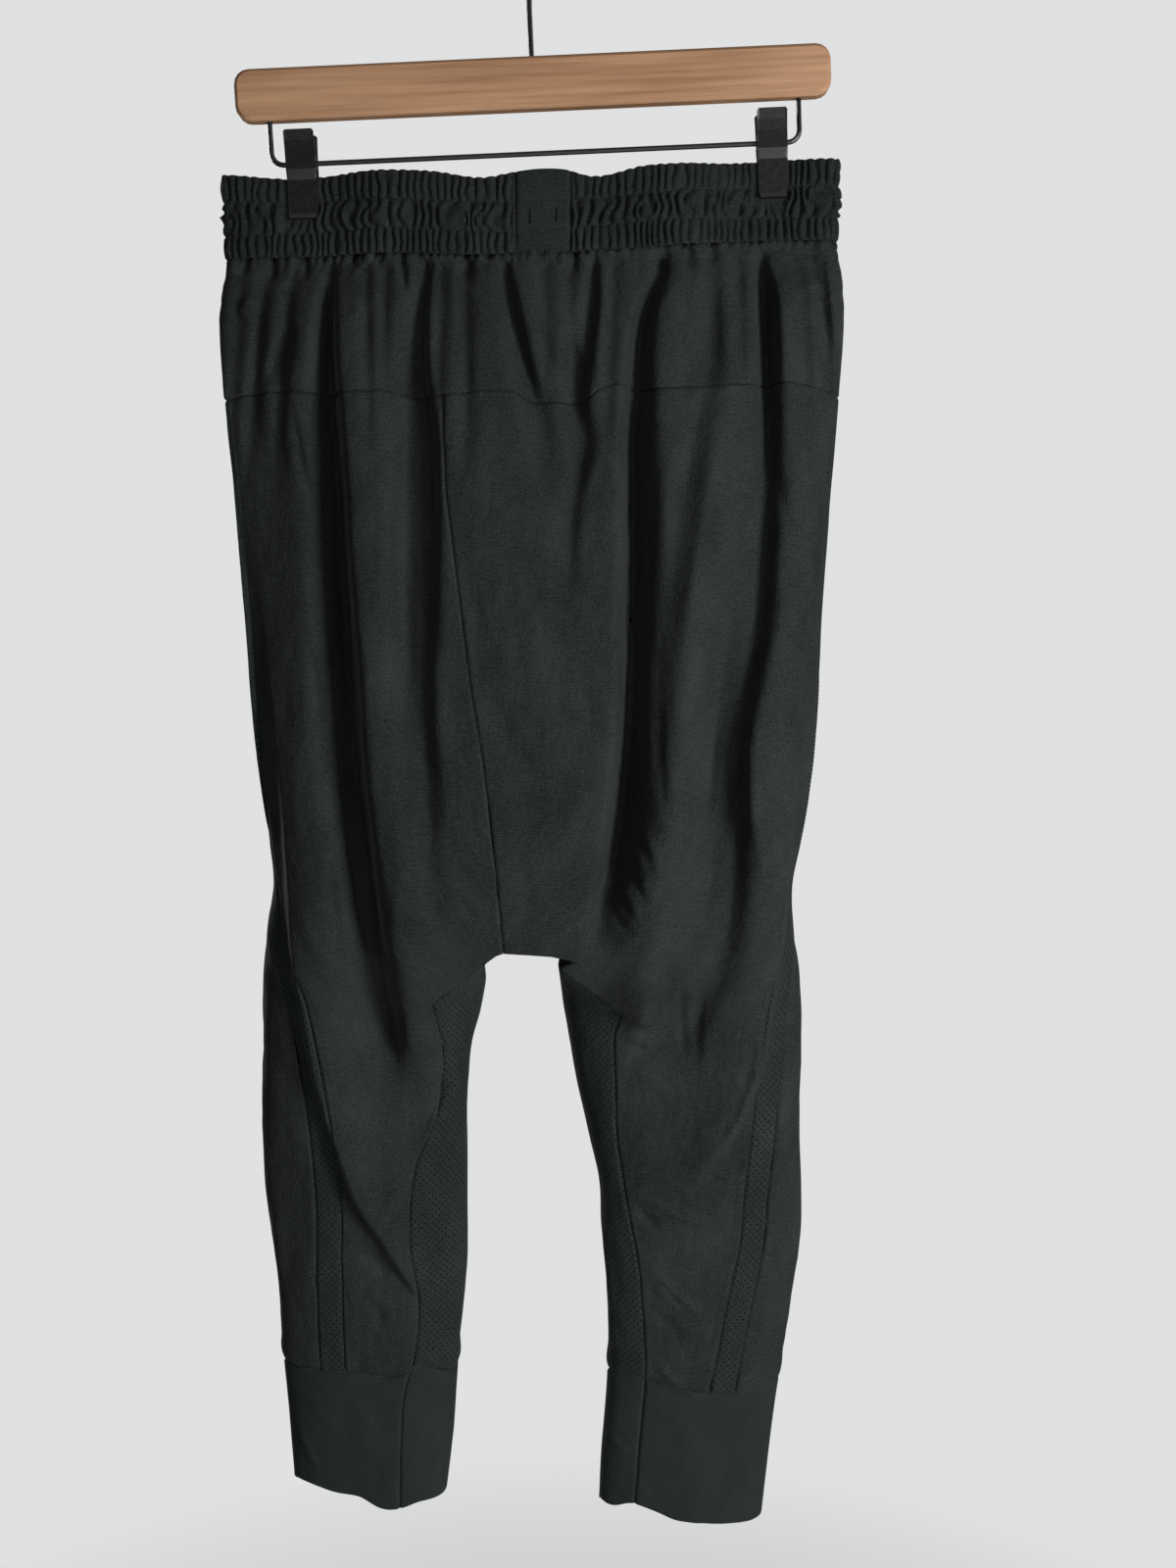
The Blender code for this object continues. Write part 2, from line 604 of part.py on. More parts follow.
def drawn_back(outer, inner, ends):
    """Draws the named edges of a piece back from the seam by half a seam gap."""
    for axis, end in ends:
        edge, beside = (0, 1) if end == "first" else (-1, -2)
        out, inn = (outer, inner) if axis == "rows" else (
            outer.swapaxes(0, 1), inner.swapaxes(0, 1)
        )
        along = np.gradient(out[edge], axis=0)
        along /= np.linalg.norm(along, axis=1, keepdims=True)
        inwards = out[beside] - out[edge]
        inwards -= along * np.sum(inwards * along, axis=1, keepdims=True)
        inwards *= SEAM_GAP / 2 / np.linalg.norm(inwards, axis=1, keepdims=True)
        out[edge] += inwards
        inn[edge] += inwards


ALL_EDGES = (("rows", "first"), ("rows", "last"), ("columns", "first"), ("columns", "last"))


def first_diagonals(grid):
    """Whether each cell of a grid of points is shorter from its first corner across."""
    first = np.linalg.norm(grid[1:, 1:] - grid[:-1, :-1], axis=2)
    second = np.linalg.norm(grid[1:, :-1] - grid[:-1, 1:], axis=2)
    return first <= second


def cover(mesh, corners, from_first, way):
    """Two triangles for each cell of a grid of vertices."""
    for i, (upper, lower) in enumerate(zip(corners, corners[1:])):
        for a in range(len(upper) - 1):
            b = a + 1
            if from_first[i, a]:
                halves = (upper[a], upper[b], lower[b]), (upper[a], lower[b], lower[a])
            else:
                halves = (upper[a], upper[b], lower[a]), (upper[b], lower[b], lower[a])
            for half in halves:
                mesh.faces.new(half[::way])


def wall_mesh(outer, inner):
    """A closed wall between two grids of points that share their number of columns. Where
    they share their rows too, both faces fold along the same diagonals."""
    mesh = bmesh.new()
    out = [[mesh.verts.new(p) for p in row] for row in outer]
    inn = [[mesh.verts.new(p) for p in row] for row in inner]
    cover(mesh, out, first_diagonals(outer), 1)
    cover(mesh, inn, first_diagonals(outer if len(inner) == len(outer) else inner), -1)
    for a in range(outer.shape[1] - 1):
        b = a + 1
        mesh.faces.new((out[0][b], out[0][a], inn[0][a], inn[0][b]))
        mesh.faces.new((out[-1][a], out[-1][b], inn[-1][b], inn[-1][a]))
    for column in (0, -1):
        edge, lining = [row[column] for row in out], [row[column] for row in inn]
        if len(inn) < len(out):
            mesh.faces.new(edge + lining[::-1])
            continue
        for i in range(len(out) - 1):
            mesh.faces.new((edge[i], edge[i + 1], lining[i + 1], lining[i]))
    bmesh.ops.triangulate(mesh, faces=[f for f in mesh.faces if len(f.verts) > 4])
    return mesh


def add_object(name, mesh, material, sharp_over=50):
    bmesh.ops.recalc_face_normals(mesh, faces=mesh.faces)
    data = bpy.data.meshes.new(name)
    mesh.to_mesh(data)
    mesh.free()
    data.materials.append(material)
    data.shade_smooth()
    data.set_sharp_from_angle(angle=math.radians(sharp_over))
    obj = bpy.data.objects.new(name, data)
    bpy.context.scene.collection.objects.link(obj)
    return obj


def cloth(name, outer, normal, wall, ends, material):
    """A sewn piece: a wall under its outer points, its edges drawn back from the seams."""
    outer = np.array(outer)
    inner = outer - wall * np.array(normal)
    drawn_back(outer, inner, ends)
    return add_object(name, wall_mesh(outer, inner), material)


def garment(materials):
    grids = {side: side_grids(side) for side in CUFF_LEVEL}
    normals = outward(grids)

    def rows(kind, side, span, first, last):
        table = grids if kind == "points" else normals
        return table[side][span][first : last + 1]

    def joined(kind, first, last, pieces):
        """Grids side by side. A piece is a side, a span, its columns and its direction."""
        parts = []
        for side, span, columns, step in pieces:
            grid = rows(kind, side, span, first, last)[:, columns][:, ::step]
            parts.append(grid[:, 1:] if parts else grid)
        return np.concatenate(parts, axis=1)

    every = slice(None)
    yokes = {
        "yoke_front": (
            ("left", "strip", slice(0, 2), -1), ("left", "front", every, -1),
            ("right", "front", every, 1), ("right", "strip", slice(0, 2), 1),
        ),
        "yoke_back": (
            ("left", "strip", slice(1, 3), 1), ("left", "back", every, 1),
            ("right", "back", every, -1), ("right", "strip", slice(1, 3), -1),
        ),
    }
    for name, pieces in yokes.items():
        outer, normal = (joined(kind, 0, YOKE_ROW, pieces) for kind in ("points", "normals"))
        cloth(name, outer, normal, WALL, ALL_EDGES, materials["cloth"])
    panels = {"front": "cloth", "strip": "perforated", "back": "cloth", "inner": "perforated"}
    names = {"front": "front", "strip": "side_strip", "back": "back", "inner": "inner_leg"}
    for side in grids:
        for span, material in panels.items():
            first = CROTCH_ROW if span == "inner" else YOKE_ROW
            outer, normal = (rows(k, side, span, first, CUFF_ROW) for k in ("points", "normals"))
            name = f"{names[span]}_{side}"
            cloth(name, outer, normal, WALL, ALL_EDGES, materials[material])
        round_leg = (
            (side, "front", every, 1), (side, "strip", every, 1), (side, "back", every, 1),
            (side, "inner", every, -1),
        )
        last = len(levels_of(side)) - 1
        outer, normal = (joined(k, CUFF_ROW, last, round_leg) for k in ("points", "normals"))
        ends = (("rows", "first"), ("columns", "first"), ("columns", "last"))
        cloth(f"cuff_{side}", outer, normal, CUFF_WALL, ends, materials["cuff"])


def band_level(x, line):
    """The height of a waistband line: 0 top edge, 1 and 2 stitch lines, 3 bottom edge.
    Halves lie midway between two lines."""
    low = min(int(line), 2)
    upper, lower = curve(BAND_LINES, low + 1, x), curve(BAND_LINES, low + 2, x)
    return upper + (lower - upper) * (line - low)


def band_points(girth_part, line, rise):
    """Waistband points, round from the centre panel over the right side and the back."""
    top, bottom = BAND_MIDDLE[1], BAND_MIDDLE[-1]
    level = (top + (bottom - top) * line / 3) * MM
    oval = hip_oval("right", level)
    start = oval.girth_at(CENTRE_PANEL[1] + SEAM_GAP)
    end = oval.girth_at(CENTRE_PANEL[0] - SEAM_GAP) - oval.whole
    girth = start + (end - start) * girth_part
    x, y = oval.at(girth)
    along = np.stack(oval.at(girth - MM)) - np.stack(oval.at(girth + MM))
    along /= np.linalg.norm(along, axis=0)
    pinch = pinched(x, level)
    lifted = np.where(rise > 0, rise * (1 - pinch) + PRESSED_RISE * pinch, rise)
    y = draped(x, y, level)
    x = x + along[1] * lifted
    y = y - along[0] * lifted
    return np.stack([x, y, band_level(x, line)], axis=1)


def waistband(material):
    """One gathered band, closed by a flat panel at the centre front."""
    half_gathers = np.arange(2 * BAND_GATHERS + 1)
    part = half_gathers / half_gathers[-1]
    crest = (half_gathers % 2) * GATHER_RISE
    bottom = 3 - SEAM_GAP / 2 / CHANNEL_HEIGHT
    outer = [band_points(part, min(line, bottom), share * crest) for line, share in GATHER_LINES]
    lining = np.full_like(part, -BAND_WALL)
    inner = [band_points(part, line, lining) for line in (0, LINING_MIDDLE, bottom)]
    add_object("waistband", wall_mesh(np.array(outer), np.array(inner)), material)
    left, right = CENTRE_PANEL
    between = np.linspace(left, right, CENTRE_PANEL_STEPS)[1:-1]
    place = np.array([left, left + CENTRE_PANEL_EDGE, *between, right - CENTRE_PANEL_EDGE, right])
    raised = np.full_like(place, CENTRE_PANEL_RISE)
    raised[[0, -1]] = PRESSED_RISE
    depth = centre_depth(place)
    outer = [
        np.stack([place, depth - raised, band_level(place, line)], axis=1)
        for line in (0, 0.5, 1, 2, bottom)
    ]
    inner = [
        np.stack([place, depth + BAND_WALL, band_level(place, line)], axis=1)
        for line in (0, bottom)
    ]
    add_object("waist_front_panel", wall_mesh(np.array(outer), np.array(inner)), material)


def centre_depth(x):
    """The depth of the front of the waistband behind its centre panel."""
    oval = hip_oval("right", CENTRE_PANEL_LEVEL)
    y = np.array([oval.at(oval.girth_at(value))[1] for value in x])
    return draped(x, y, CENTRE_PANEL_LEVEL)


def loft(name, loops, material, around=False, sharp_over=40):
    """A solid through a row of loops. around joins the last loop to the first."""
    mesh = bmesh.new()
    rings = [[mesh.verts.new(p) for p in loop] for loop in loops]
    for ring, following in zip(rings, rings[1:] + rings[:1] * around):
        for a in range(len(ring)):
            b = (a + 1) % len(ring)
            mesh.faces.new((ring[a], ring[b], following[b], following[a]))
    if not around:
        mesh.faces.new(rings[0])
        mesh.faces.new(rings[-1])
    return add_object(name, mesh, material, sharp_over)


def hanger_point(along, up, depth=0.0):
    """A point given along the hanger's bar, square to it, and in depth."""
    cos, sin = math.cos(HANGER_TILT), math.sin(HANGER_TILT)
    return BAR_CENTRE + Vector((along * cos - up * sin, depth, along * sin + up * cos))


def rounded_outline(width, height, corner, inset, steps=4):
    """The corner points of a rounded rectangle, drawn in by inset."""
    radius = max(corner - inset, 0.2 * MM)
    points = []
    for quarter, (sx, sy) in enumerate(((1, 1), (-1, 1), (-1, -1), (1, -1))):
        centre = (sx * (width / 2 - inset - radius), sy * (height / 2 - inset - radius))
        for i in range(steps + 1):
            angle = math.radians(90 * (quarter + i / steps))
            points.append((centre[0] + radius * math.cos(angle),
                           centre[1] + radius * math.sin(angle)))
    return points


def wire(name, path, radius, material):
    """A round wire along a path in the XZ plane."""
    loops = []
    for i, point in enumerate(path):
        before, after = path[max(i - 1, 0)], path[min(i + 1, len(path) - 1)]
        along = (after - before).normalized()
        side = Vector((-along.z, 0, along.x))
        turns = [2 * math.pi * k / WIRE_SIDES for k in range(WIRE_SIDES)]
        loops.append([
            point + radius * (math.cos(a) * side + math.sin(a) * Vector((0, 1, 0))) for a in turns
        ])
    return loft(name, loops, material)


def round_bar(name, start, end, radius, sides=16):
    """A straight round bar, used to drill holes."""
    along = (end - start).normalized()
    side = along.orthogonal().normalized()
    other = along.cross(side)
    turns = [2 * math.pi * k / sides for k in range(sides)]
    loops = [
        [p + radius * (math.cos(a) * side + math.sin(a) * other) for a in turns]
        for p in (start, end)
    ]
    return loft(name, loops, None)


def combine(obj, others, operation):
    """Cuts the other solids out of obj, or joins them to it, and removes them."""
    for other in others:
        modifier = obj.modifiers.new(other.name, "BOOLEAN")
        modifier.object = other
        modifier.operation = operation
        modifier.solver = "EXACT"
    solved = obj.evaluated_get(bpy.context.evaluated_depsgraph_get())
    data = bpy.data.meshes.new_from_object(solved)
    data.name = obj.name
    mesh = bmesh.new()
    mesh.from_mesh(data)
    bmesh.ops.remove_doubles(mesh, verts=mesh.verts, dist=WELD)
    bmesh.ops.triangulate(mesh, faces=mesh.faces)
    mesh.to_mesh(data)
    mesh.free()
    obj.modifiers.clear()
    obj.data = data
    for other in others:
        bpy.data.objects.remove(other)


def bar(material):
    """A flat bar with rounded ends and edges, drilled for the hook and the rod."""
    loops = []
    for depth, inset in BAR_PROFILE:
        outline = rounded_outline(BAR_LENGTH, BAR_HEIGHT, BAR_CORNER, inset * BAR_EDGE)
        loops.append([hanger_point(a, b, depth * BAR_DEPTH / 2) for a, b in outline])
    obj = loft("hanger_bar", loops, material, sharp_over=60)
    top, bottom = BAR_HEIGHT / 2, -BAR_HEIGHT / 2
    holes = [round_bar(
        "hook_hole", hanger_point(0, top - HOOK_IN_BAR - DRILL_DEEPER),
        hanger_point(0, top + DRILL_ABOVE), HOOK_WIRE + HOLE_CLEARANCE,
    )]
    for end in (-ROD_HALF, ROD_HALF):
        holes.append(round_bar(
            "rod_hole", hanger_point(end, bottom - DRILL_ABOVE),
            hanger_point(end, bottom + ROD_IN_BAR + DRILL_DEEPER), ROD_WIRE + HOLE_CLEARANCE,
        ))
    combine(obj, holes, "DIFFERENCE")


def hook(material):
    """A straight stem out of the bar, a bend to one side and a round crook over the top."""
    top = BAR_HEIGHT / 2
    stem = [hanger_point(0, top + h) for h in (-HOOK_IN_BAR, 0, HOOK_STEM / 2, HOOK_STEM)]
    middle = Vector((0, 0, -HOOK_INNER))
    radius = HOOK_INNER + HOOK_WIRE

    def crook(degrees):
        turn = math.radians(degrees)
        return middle + radius * Vector((math.cos(turn), 0, math.sin(turn)))

    first, last, step = CROOK_DEGREES
    start, end = stem[-1], crook(first)
    up = (stem[-1] - stem[0]).normalized()
    turn = math.radians(-first)
    out = Vector((math.sin(turn), 0, math.cos(turn)))
    a, b, c, d = start, start + BEND_HANDLE * up, end - BEND_HANDLE * out, end
    bend = []
    for i in range(1, BEND_STEPS):
        t = i / BEND_STEPS
        bend.append(
            a * (1 - t) ** 3 + b * 3 * t * (1 - t) ** 2 + c * 3 * t * t * (1 - t) + d * t**3
        )
    round_part = [crook(degrees) for degrees in range(first, last + 1, step)]
    wire("hanger_hook", stem + bend + round_part, HOOK_WIRE, material)


def rod(material):
    """One wire: into the bar at both ends, straight between two round corners."""
    right = [(ROD_HALF, -BAR_HEIGHT / 2 + ROD_IN_BAR), (ROD_HALF, -ROD_BELOW + ROD_CORNER)]
    for i in range(1, ROD_CORNER_STEPS + 1):
        turn = math.radians(-90 * i / ROD_CORNER_STEPS)
        right.append((
            ROD_HALF - ROD_CORNER + ROD_CORNER * math.cos(turn),
            -ROD_BELOW + ROD_CORNER + ROD_CORNER * math.sin(turn),
        ))
    left = [(-along, up) for along, up in reversed(right)]
    wire("hanger_rod", [hanger_point(a, b) for a, b in right + left], ROD_WIRE, material)


def clip(side, material):
    """Two pressed jaws that turn on the rod by their ears, with a spring between them."""
    at = CLIP_ALONG_ROD[side]
    half = CLIP_WIDTH / 2

    def point(along, depth, up):
        return hanger_point(at + along, up - ROD_BELOW, depth)

    for face, way, ear_at in (("front", -1, half), ("back", 1, half - EAR_PLATE - SEAM_GAP)):
        loops = []
        for along, cut in ((-1, 1), (JAW_EDGE - 1, 0), (1 - JAW_EDGE, 0), (1, 1)):
            squeeze = 1 - cut * JAW_TAPER
            profile = [(d * MM, h * MM * squeeze) for d, h in JAW_FACE]
            inner = [point(along * half, way * d, h) for d, h in profile]
            outer = [point(along * half, way * (d + JAW_PLATE), h) for d, h in profile]
            loops.append(inner + outer[::-1])
        jaw = loft(f"clip_{side}_{face}", loops, material)
        ears = []
        for end in (-1, 1):
            outline = [(way * EAR_ROOT, EAR_RADIUS)]
            for degrees in range(90, -91, -30):
                turn = math.radians(degrees)
                outline.append((-way * EAR_RADIUS * math.cos(turn), EAR_RADIUS * math.sin(turn)))
            outline.append((way * EAR_ROOT, -EAR_RADIUS))
            edges = (end * (ear_at - EAR_INSET), end * (ear_at - EAR_PLATE))
            sheet = [[point(a, d, h) for d, h in outline] for a in edges]
            ears.append(loft("ear", sheet, material))
        combine(jaw, ears, "UNION")
        hole = round_bar(
            "ear_hole", point(-half - MM, 0, 0), point(half + MM, 0, 0), ROD_WIRE + SEAM_GAP,
            sides=10,
        )
        combine(jaw, [hole], "DIFFERENCE")
    reach = half - 2 * EAR_PLATE - 2 * SEAM_GAP
    inner, outer = ROD_WIRE + SEAM_GAP, SPRING_RADIUS
    profile = ((-reach, inner), (reach, inner), (reach, outer), (-reach, outer))
    loops = []
    for k in range(SPRING_SIDES):
        turn = 2 * math.pi * k / SPRING_SIDES
        loops.append([point(a, r * math.cos(turn), r * math.sin(turn)) for a, r in profile])
    loft(f"clip_{side}_spring", loops, material, around=True)


def finish(name, colour, roughness, metallic=0.0):
    material = bpy.data.materials.new(name)
    material.use_nodes = True
    shader = material.node_tree.nodes["Principled BSDF"]
    shader.inputs["Base Color"].default_value = (*colour, 1)
    shader.inputs["Roughness"].default_value = roughness
    shader.inputs["Metallic"].default_value = metallic
    return material


def main():
    for obj in list(bpy.data.objects):
        bpy.data.objects.remove(obj)
    materials = {
        "cloth": finish("body_cloth", (0.040, 0.046, 0.045), 0.85),
        "perforated": finish("perforated_cloth", (0.030, 0.036, 0.037), 0.85),
        "band": finish("waistband_cloth", (0.040, 0.046, 0.045), 0.85),
        "cuff": finish("cuff_cloth", (0.032, 0.038, 0.038), 0.88),
    }
    wood = finish("hanger_wood", (0.41, 0.23, 0.115), 0.5)
    metal = finish("black_metal", (0.012, 0.012, 0.013), 0.38, 0.6)
    waistband(materials["band"])
    garment(materials)
    bar(wood)
    hook(metal)
    rod(metal)
    for side in CLIP_ALONG_ROD:
        clip(side, metal)


main()
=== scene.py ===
"""Looks of the track pants on their clip hanger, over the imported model.

The cloth is made again from the ovals, seams and folds that the solids have, on a finer
grid, with the gathers, creases, seams and sewing that the solids leave out.
"""

import json
import math

import bpy
import numpy as np
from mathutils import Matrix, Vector

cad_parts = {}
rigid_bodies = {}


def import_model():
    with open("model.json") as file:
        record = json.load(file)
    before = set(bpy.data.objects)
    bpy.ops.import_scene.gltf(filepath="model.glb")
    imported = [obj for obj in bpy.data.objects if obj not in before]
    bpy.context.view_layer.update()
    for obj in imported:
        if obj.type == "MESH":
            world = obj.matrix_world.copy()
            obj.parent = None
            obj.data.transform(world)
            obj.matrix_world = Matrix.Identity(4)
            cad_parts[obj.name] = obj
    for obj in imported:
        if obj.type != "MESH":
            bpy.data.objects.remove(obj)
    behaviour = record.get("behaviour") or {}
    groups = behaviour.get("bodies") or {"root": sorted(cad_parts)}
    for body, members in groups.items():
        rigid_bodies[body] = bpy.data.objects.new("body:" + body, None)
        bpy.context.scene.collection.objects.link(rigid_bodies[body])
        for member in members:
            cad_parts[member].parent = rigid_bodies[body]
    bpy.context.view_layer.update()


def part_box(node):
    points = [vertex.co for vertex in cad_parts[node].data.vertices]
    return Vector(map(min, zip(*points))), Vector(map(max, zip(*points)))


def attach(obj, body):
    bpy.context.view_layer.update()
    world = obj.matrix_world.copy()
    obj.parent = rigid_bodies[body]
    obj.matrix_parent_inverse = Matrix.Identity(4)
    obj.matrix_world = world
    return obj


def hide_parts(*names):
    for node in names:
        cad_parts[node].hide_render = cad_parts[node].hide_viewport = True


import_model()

MM = 0.001

# Cloth
SEAM_GAP = 0.3 * MM
OVAL_POWER = 2.6
OVAL_STEPS = 360
STRIP_WIDTH = 18 * MM

# Waistband
BAND_GATHERS = 112
PRESSED_RISE = 0.3 * MM
PRESSED_REACH = 2.5 * MM
CENTRE_PANEL = (-9 * MM, 27 * MM)
CENTRE_PANEL_RISE = 1.0 * MM
CENTRE_PANEL_LEVEL = -190 * MM

# Levels
BAND_BOTTOM = -216 * MM
YOKE_LEVEL = -311 * MM
YOKE_FADE = -420 * MM
CROTCH_LEVEL = -684 * MM
DEPTH_BLEND = 62 * MM
WIDTH_BLEND = (3 * MM, 40 * MM)
SEAM_REACH = 60 * MM
CUFF_LEVEL = {"left": -999 * MM, "right": -1009 * MM}
HEM_LEVEL = {"left": -1096 * MM, "right": -1111 * MM}
CUFF_FADE = 60 * MM
FRONT_BLEND = 20 * MM

# Hanger
HANGER_TILT = math.radians(2.5)
BAR_MIDDLE = 2 * MM

# Clips
CLIP_ALONG_ROD = {"left": -157.5 * MM, "right": 158.5 * MM}
CLIP_WIDTH = 20 * MM
CLIP_EDGE, CLIP_EDGE_ANGLE = 0.3 * MM, math.radians(40)
EAR_PLATE = 1.2 * MM
SPRING_RADIUS = 3.3 * MM
GRIP_HALF = 1.9 * MM
GRIP_SHARE = 0.6
PINCH_HALF = 13 * MM
PINCH_REACH = 46 * MM
PINCH_LOW, PINCH_FULL = -262 * MM, -193 * MM

# All tables below are in millimetres.
# Hips: height, left side, right side, depth to the front, depth to the back.
HIP_SECTIONS = (
    (-150, -208, 208, 14, 11), (-190, -206, 207, 15, 12), (-218, -205, 207, 17, 14),
    (-245, -210, 212, 27, 21), (-311, -209, 210, 42, 30), (-372, -204, 206, 46, 32),
    (-452, -198, 201, 51, 33), (-562, -191, 196, 57, 33), (-617, -185, 188, 60, 32),
    (-645, -183, 183, 61, 32), (-674, -188, 184, 61, 31), (-702, -190, 188, 59, 31),
    (-760, -193, 190, 48, 30), (-830, -194, 192, 34, 28),
)
# Legs: height, outer side, inner side, depth to the front, depth to the back.
LEG_SECTIONS = {
    "left": (
        (-684, -189, -19, 36, 31), (-687, -189, -25, 36, 31), (-693, -190, -31, 36, 31),
        (-717, -191, -34, 35, 31), (-738, -192, -38, 34, 30), (-760, -193, -44, 33, 29),
        (-788, -194, -47, 32, 29), (-861, -193, -48, 30, 27), (-934, -186, -49, 27, 25),
        (-998, -183, -56, 24, 23), (-1047, -180, -59, 23, 22), (-1104, -177, -66, 22, 21),
    ),
    "right": (
        (-684, 186, 12, 36, 31), (-687, 186, 16, 36, 31), (-704, 188, 18, 36, 31),
        (-738, 190, 22, 34, 30), (-788, 191, 31, 32, 29), (-824, 192, 39, 31, 28),
        (-861, 193, 47, 30, 27), (-897, 193, 49, 29, 26), (-934, 189, 52, 27, 25),
        (-972, 184, 53, 26, 24), (-1014, 178, 53, 24, 23), (-1066, 172, 49, 23, 22),
        (-1120, 167, 47, 22, 21),
    ),
}
# Seams down the middle of the front and of the back: height, place across.
CENTRE_FRONT = (
    (-216, -57), (-311, -57), (-376, -55), (-416, -50), (-457, -45), (-499, -40),
    (-557, -31), (-625, -23), (-684, -18),
)
CENTRE_BACK = ((-216, -2), (-311, -4), (-560, -7), (-684, -14))
# Where each inner leg panel meets the front, then the cuff's own seam.
INNER_FRONT = {
    "left": (
        (-684, -18), (-687, -24), (-693, -31), (-706, -47), (-724, -65), (-735, -65),
        (-752, -62), (-775, -62), (-805, -67), (-844, -82), (-900, -86), (-938, -82), (-999, -88),
        (-1014, -93), (-1046, -96), (-1104, -98),
    ),
    "right": (
        (-684, -18), (-687, 17), (-696, 20), (-707, 32), (-718, 45), (-730, 57), (-752, 57),
        (-788, 58), (-823, 59), (-846, 62), (-872, 66), (-914, 74), (-954, 78), (-1009, 80),
        (-1048, 77), (-1120, 72),
    ),
}
INNER_BACK = {
    "left": (
        (-684, -14), (-687, -24), (-696, -36), (-710, -46), (-740, -60), (-788, -70),
        (-861, -74), (-934, -76), (-999, -82), (-1104, -86),
    ),
    "right": (
        (-684, -14), (-687, 16), (-696, 22), (-710, 35), (-740, 49), (-788, 58),
        (-861, 70), (-934, 76), (-1009, 78), (-1120, 72),
    ),
}
# How far the side strip's back edge lies round to the front of the outermost line.
STRIP_EDGE = {
    "left": (
        (-216, -9), (-311, -9), (-560, -8), (-640, 2), (-656, 10), (-674, 20), (-692, 28),
        (-731, 38), (-808, 52), (-875, 53), (-914, 47), (-952, 43), (-1104, 45),
    ),
    "right": (
        (-216, -9), (-311, -9), (-560, -8), (-645, -2), (-673, 6), (-697, 18), (-724, 24),
        (-754, 28), (-792, 32), (-826, 36), (-868, 41), (-918, 43), (-959, 45), (-1120, 44),
    ),
}
# Waistband lines: place across, top edge, first and second stitch line, bottom edge.
BAND_LINES = (
    (-215, -164.0, -182.0, -204.5, -219.5), (-160, -166.5, -182.0, -202.5, -218.0),
    (-108, -163.6, -181.7, -200.7, -217.0), (-65, -164.6, -183.0, -202.0, -217.8),
    (-30, -168.7, -184.5, -203.8, -218.5), (-8, -165.0, -184.0, -203.6, -217.6),
    (8, -163.2, -183.6, -202.8, -217.2), (24, -163.8, -183.2, -201.6, -217.0),
    (40, -167.8, -182.2, -200.4, -216.0), (77, -161.0, -178.8, -197.0, -213.8),
    (122, -158.2, -174.6, -193.6, -209.8), (160, -155.0, -171.8, -192.2, -207.0),
    (215, -153.5, -171.4, -191.8, -207.0),
)
# Yoke seam on the front: place across, height.
YOKE_SEAM = (
    (-215, -314), (-198, -310), (-125, -310), (-94, -309.5), (-72, -314), (-49, -312),
    (-20, -310), (-8, -311.5), (-1, -316), (18, -317.5), (38, -316), (47, -309),
    (56, -305.5), (66, -307.5), (112, -307), (150, -304.5), (184, -304), (198, -307),
    (215, -313),
)
# Each leg's front: place across, height of the cuff seam, height of the hem.
CUFF_LINES = {
    "left": (
        (-195, -997, -1084), (-165, -996, -1085), (-145, -999, -1090), (-125, -998, -1094),
        (-112, -1001, -1102), (-97, -1000, -1103), (-84, -994, -1099), (-70, -998, -1098),
        (-55, -1005, -1094),
    ),
    "right": (
        (40, -1005, -1100), (56, -1003, -1104), (70, -1003, -1100), (86, -1005, -1104),
        (102, -1009, -1111), (125, -1014, -1114), (146, -1016, -1115), (165, -1012, -1115),
        (190, -1009, -1112),
    ),
}
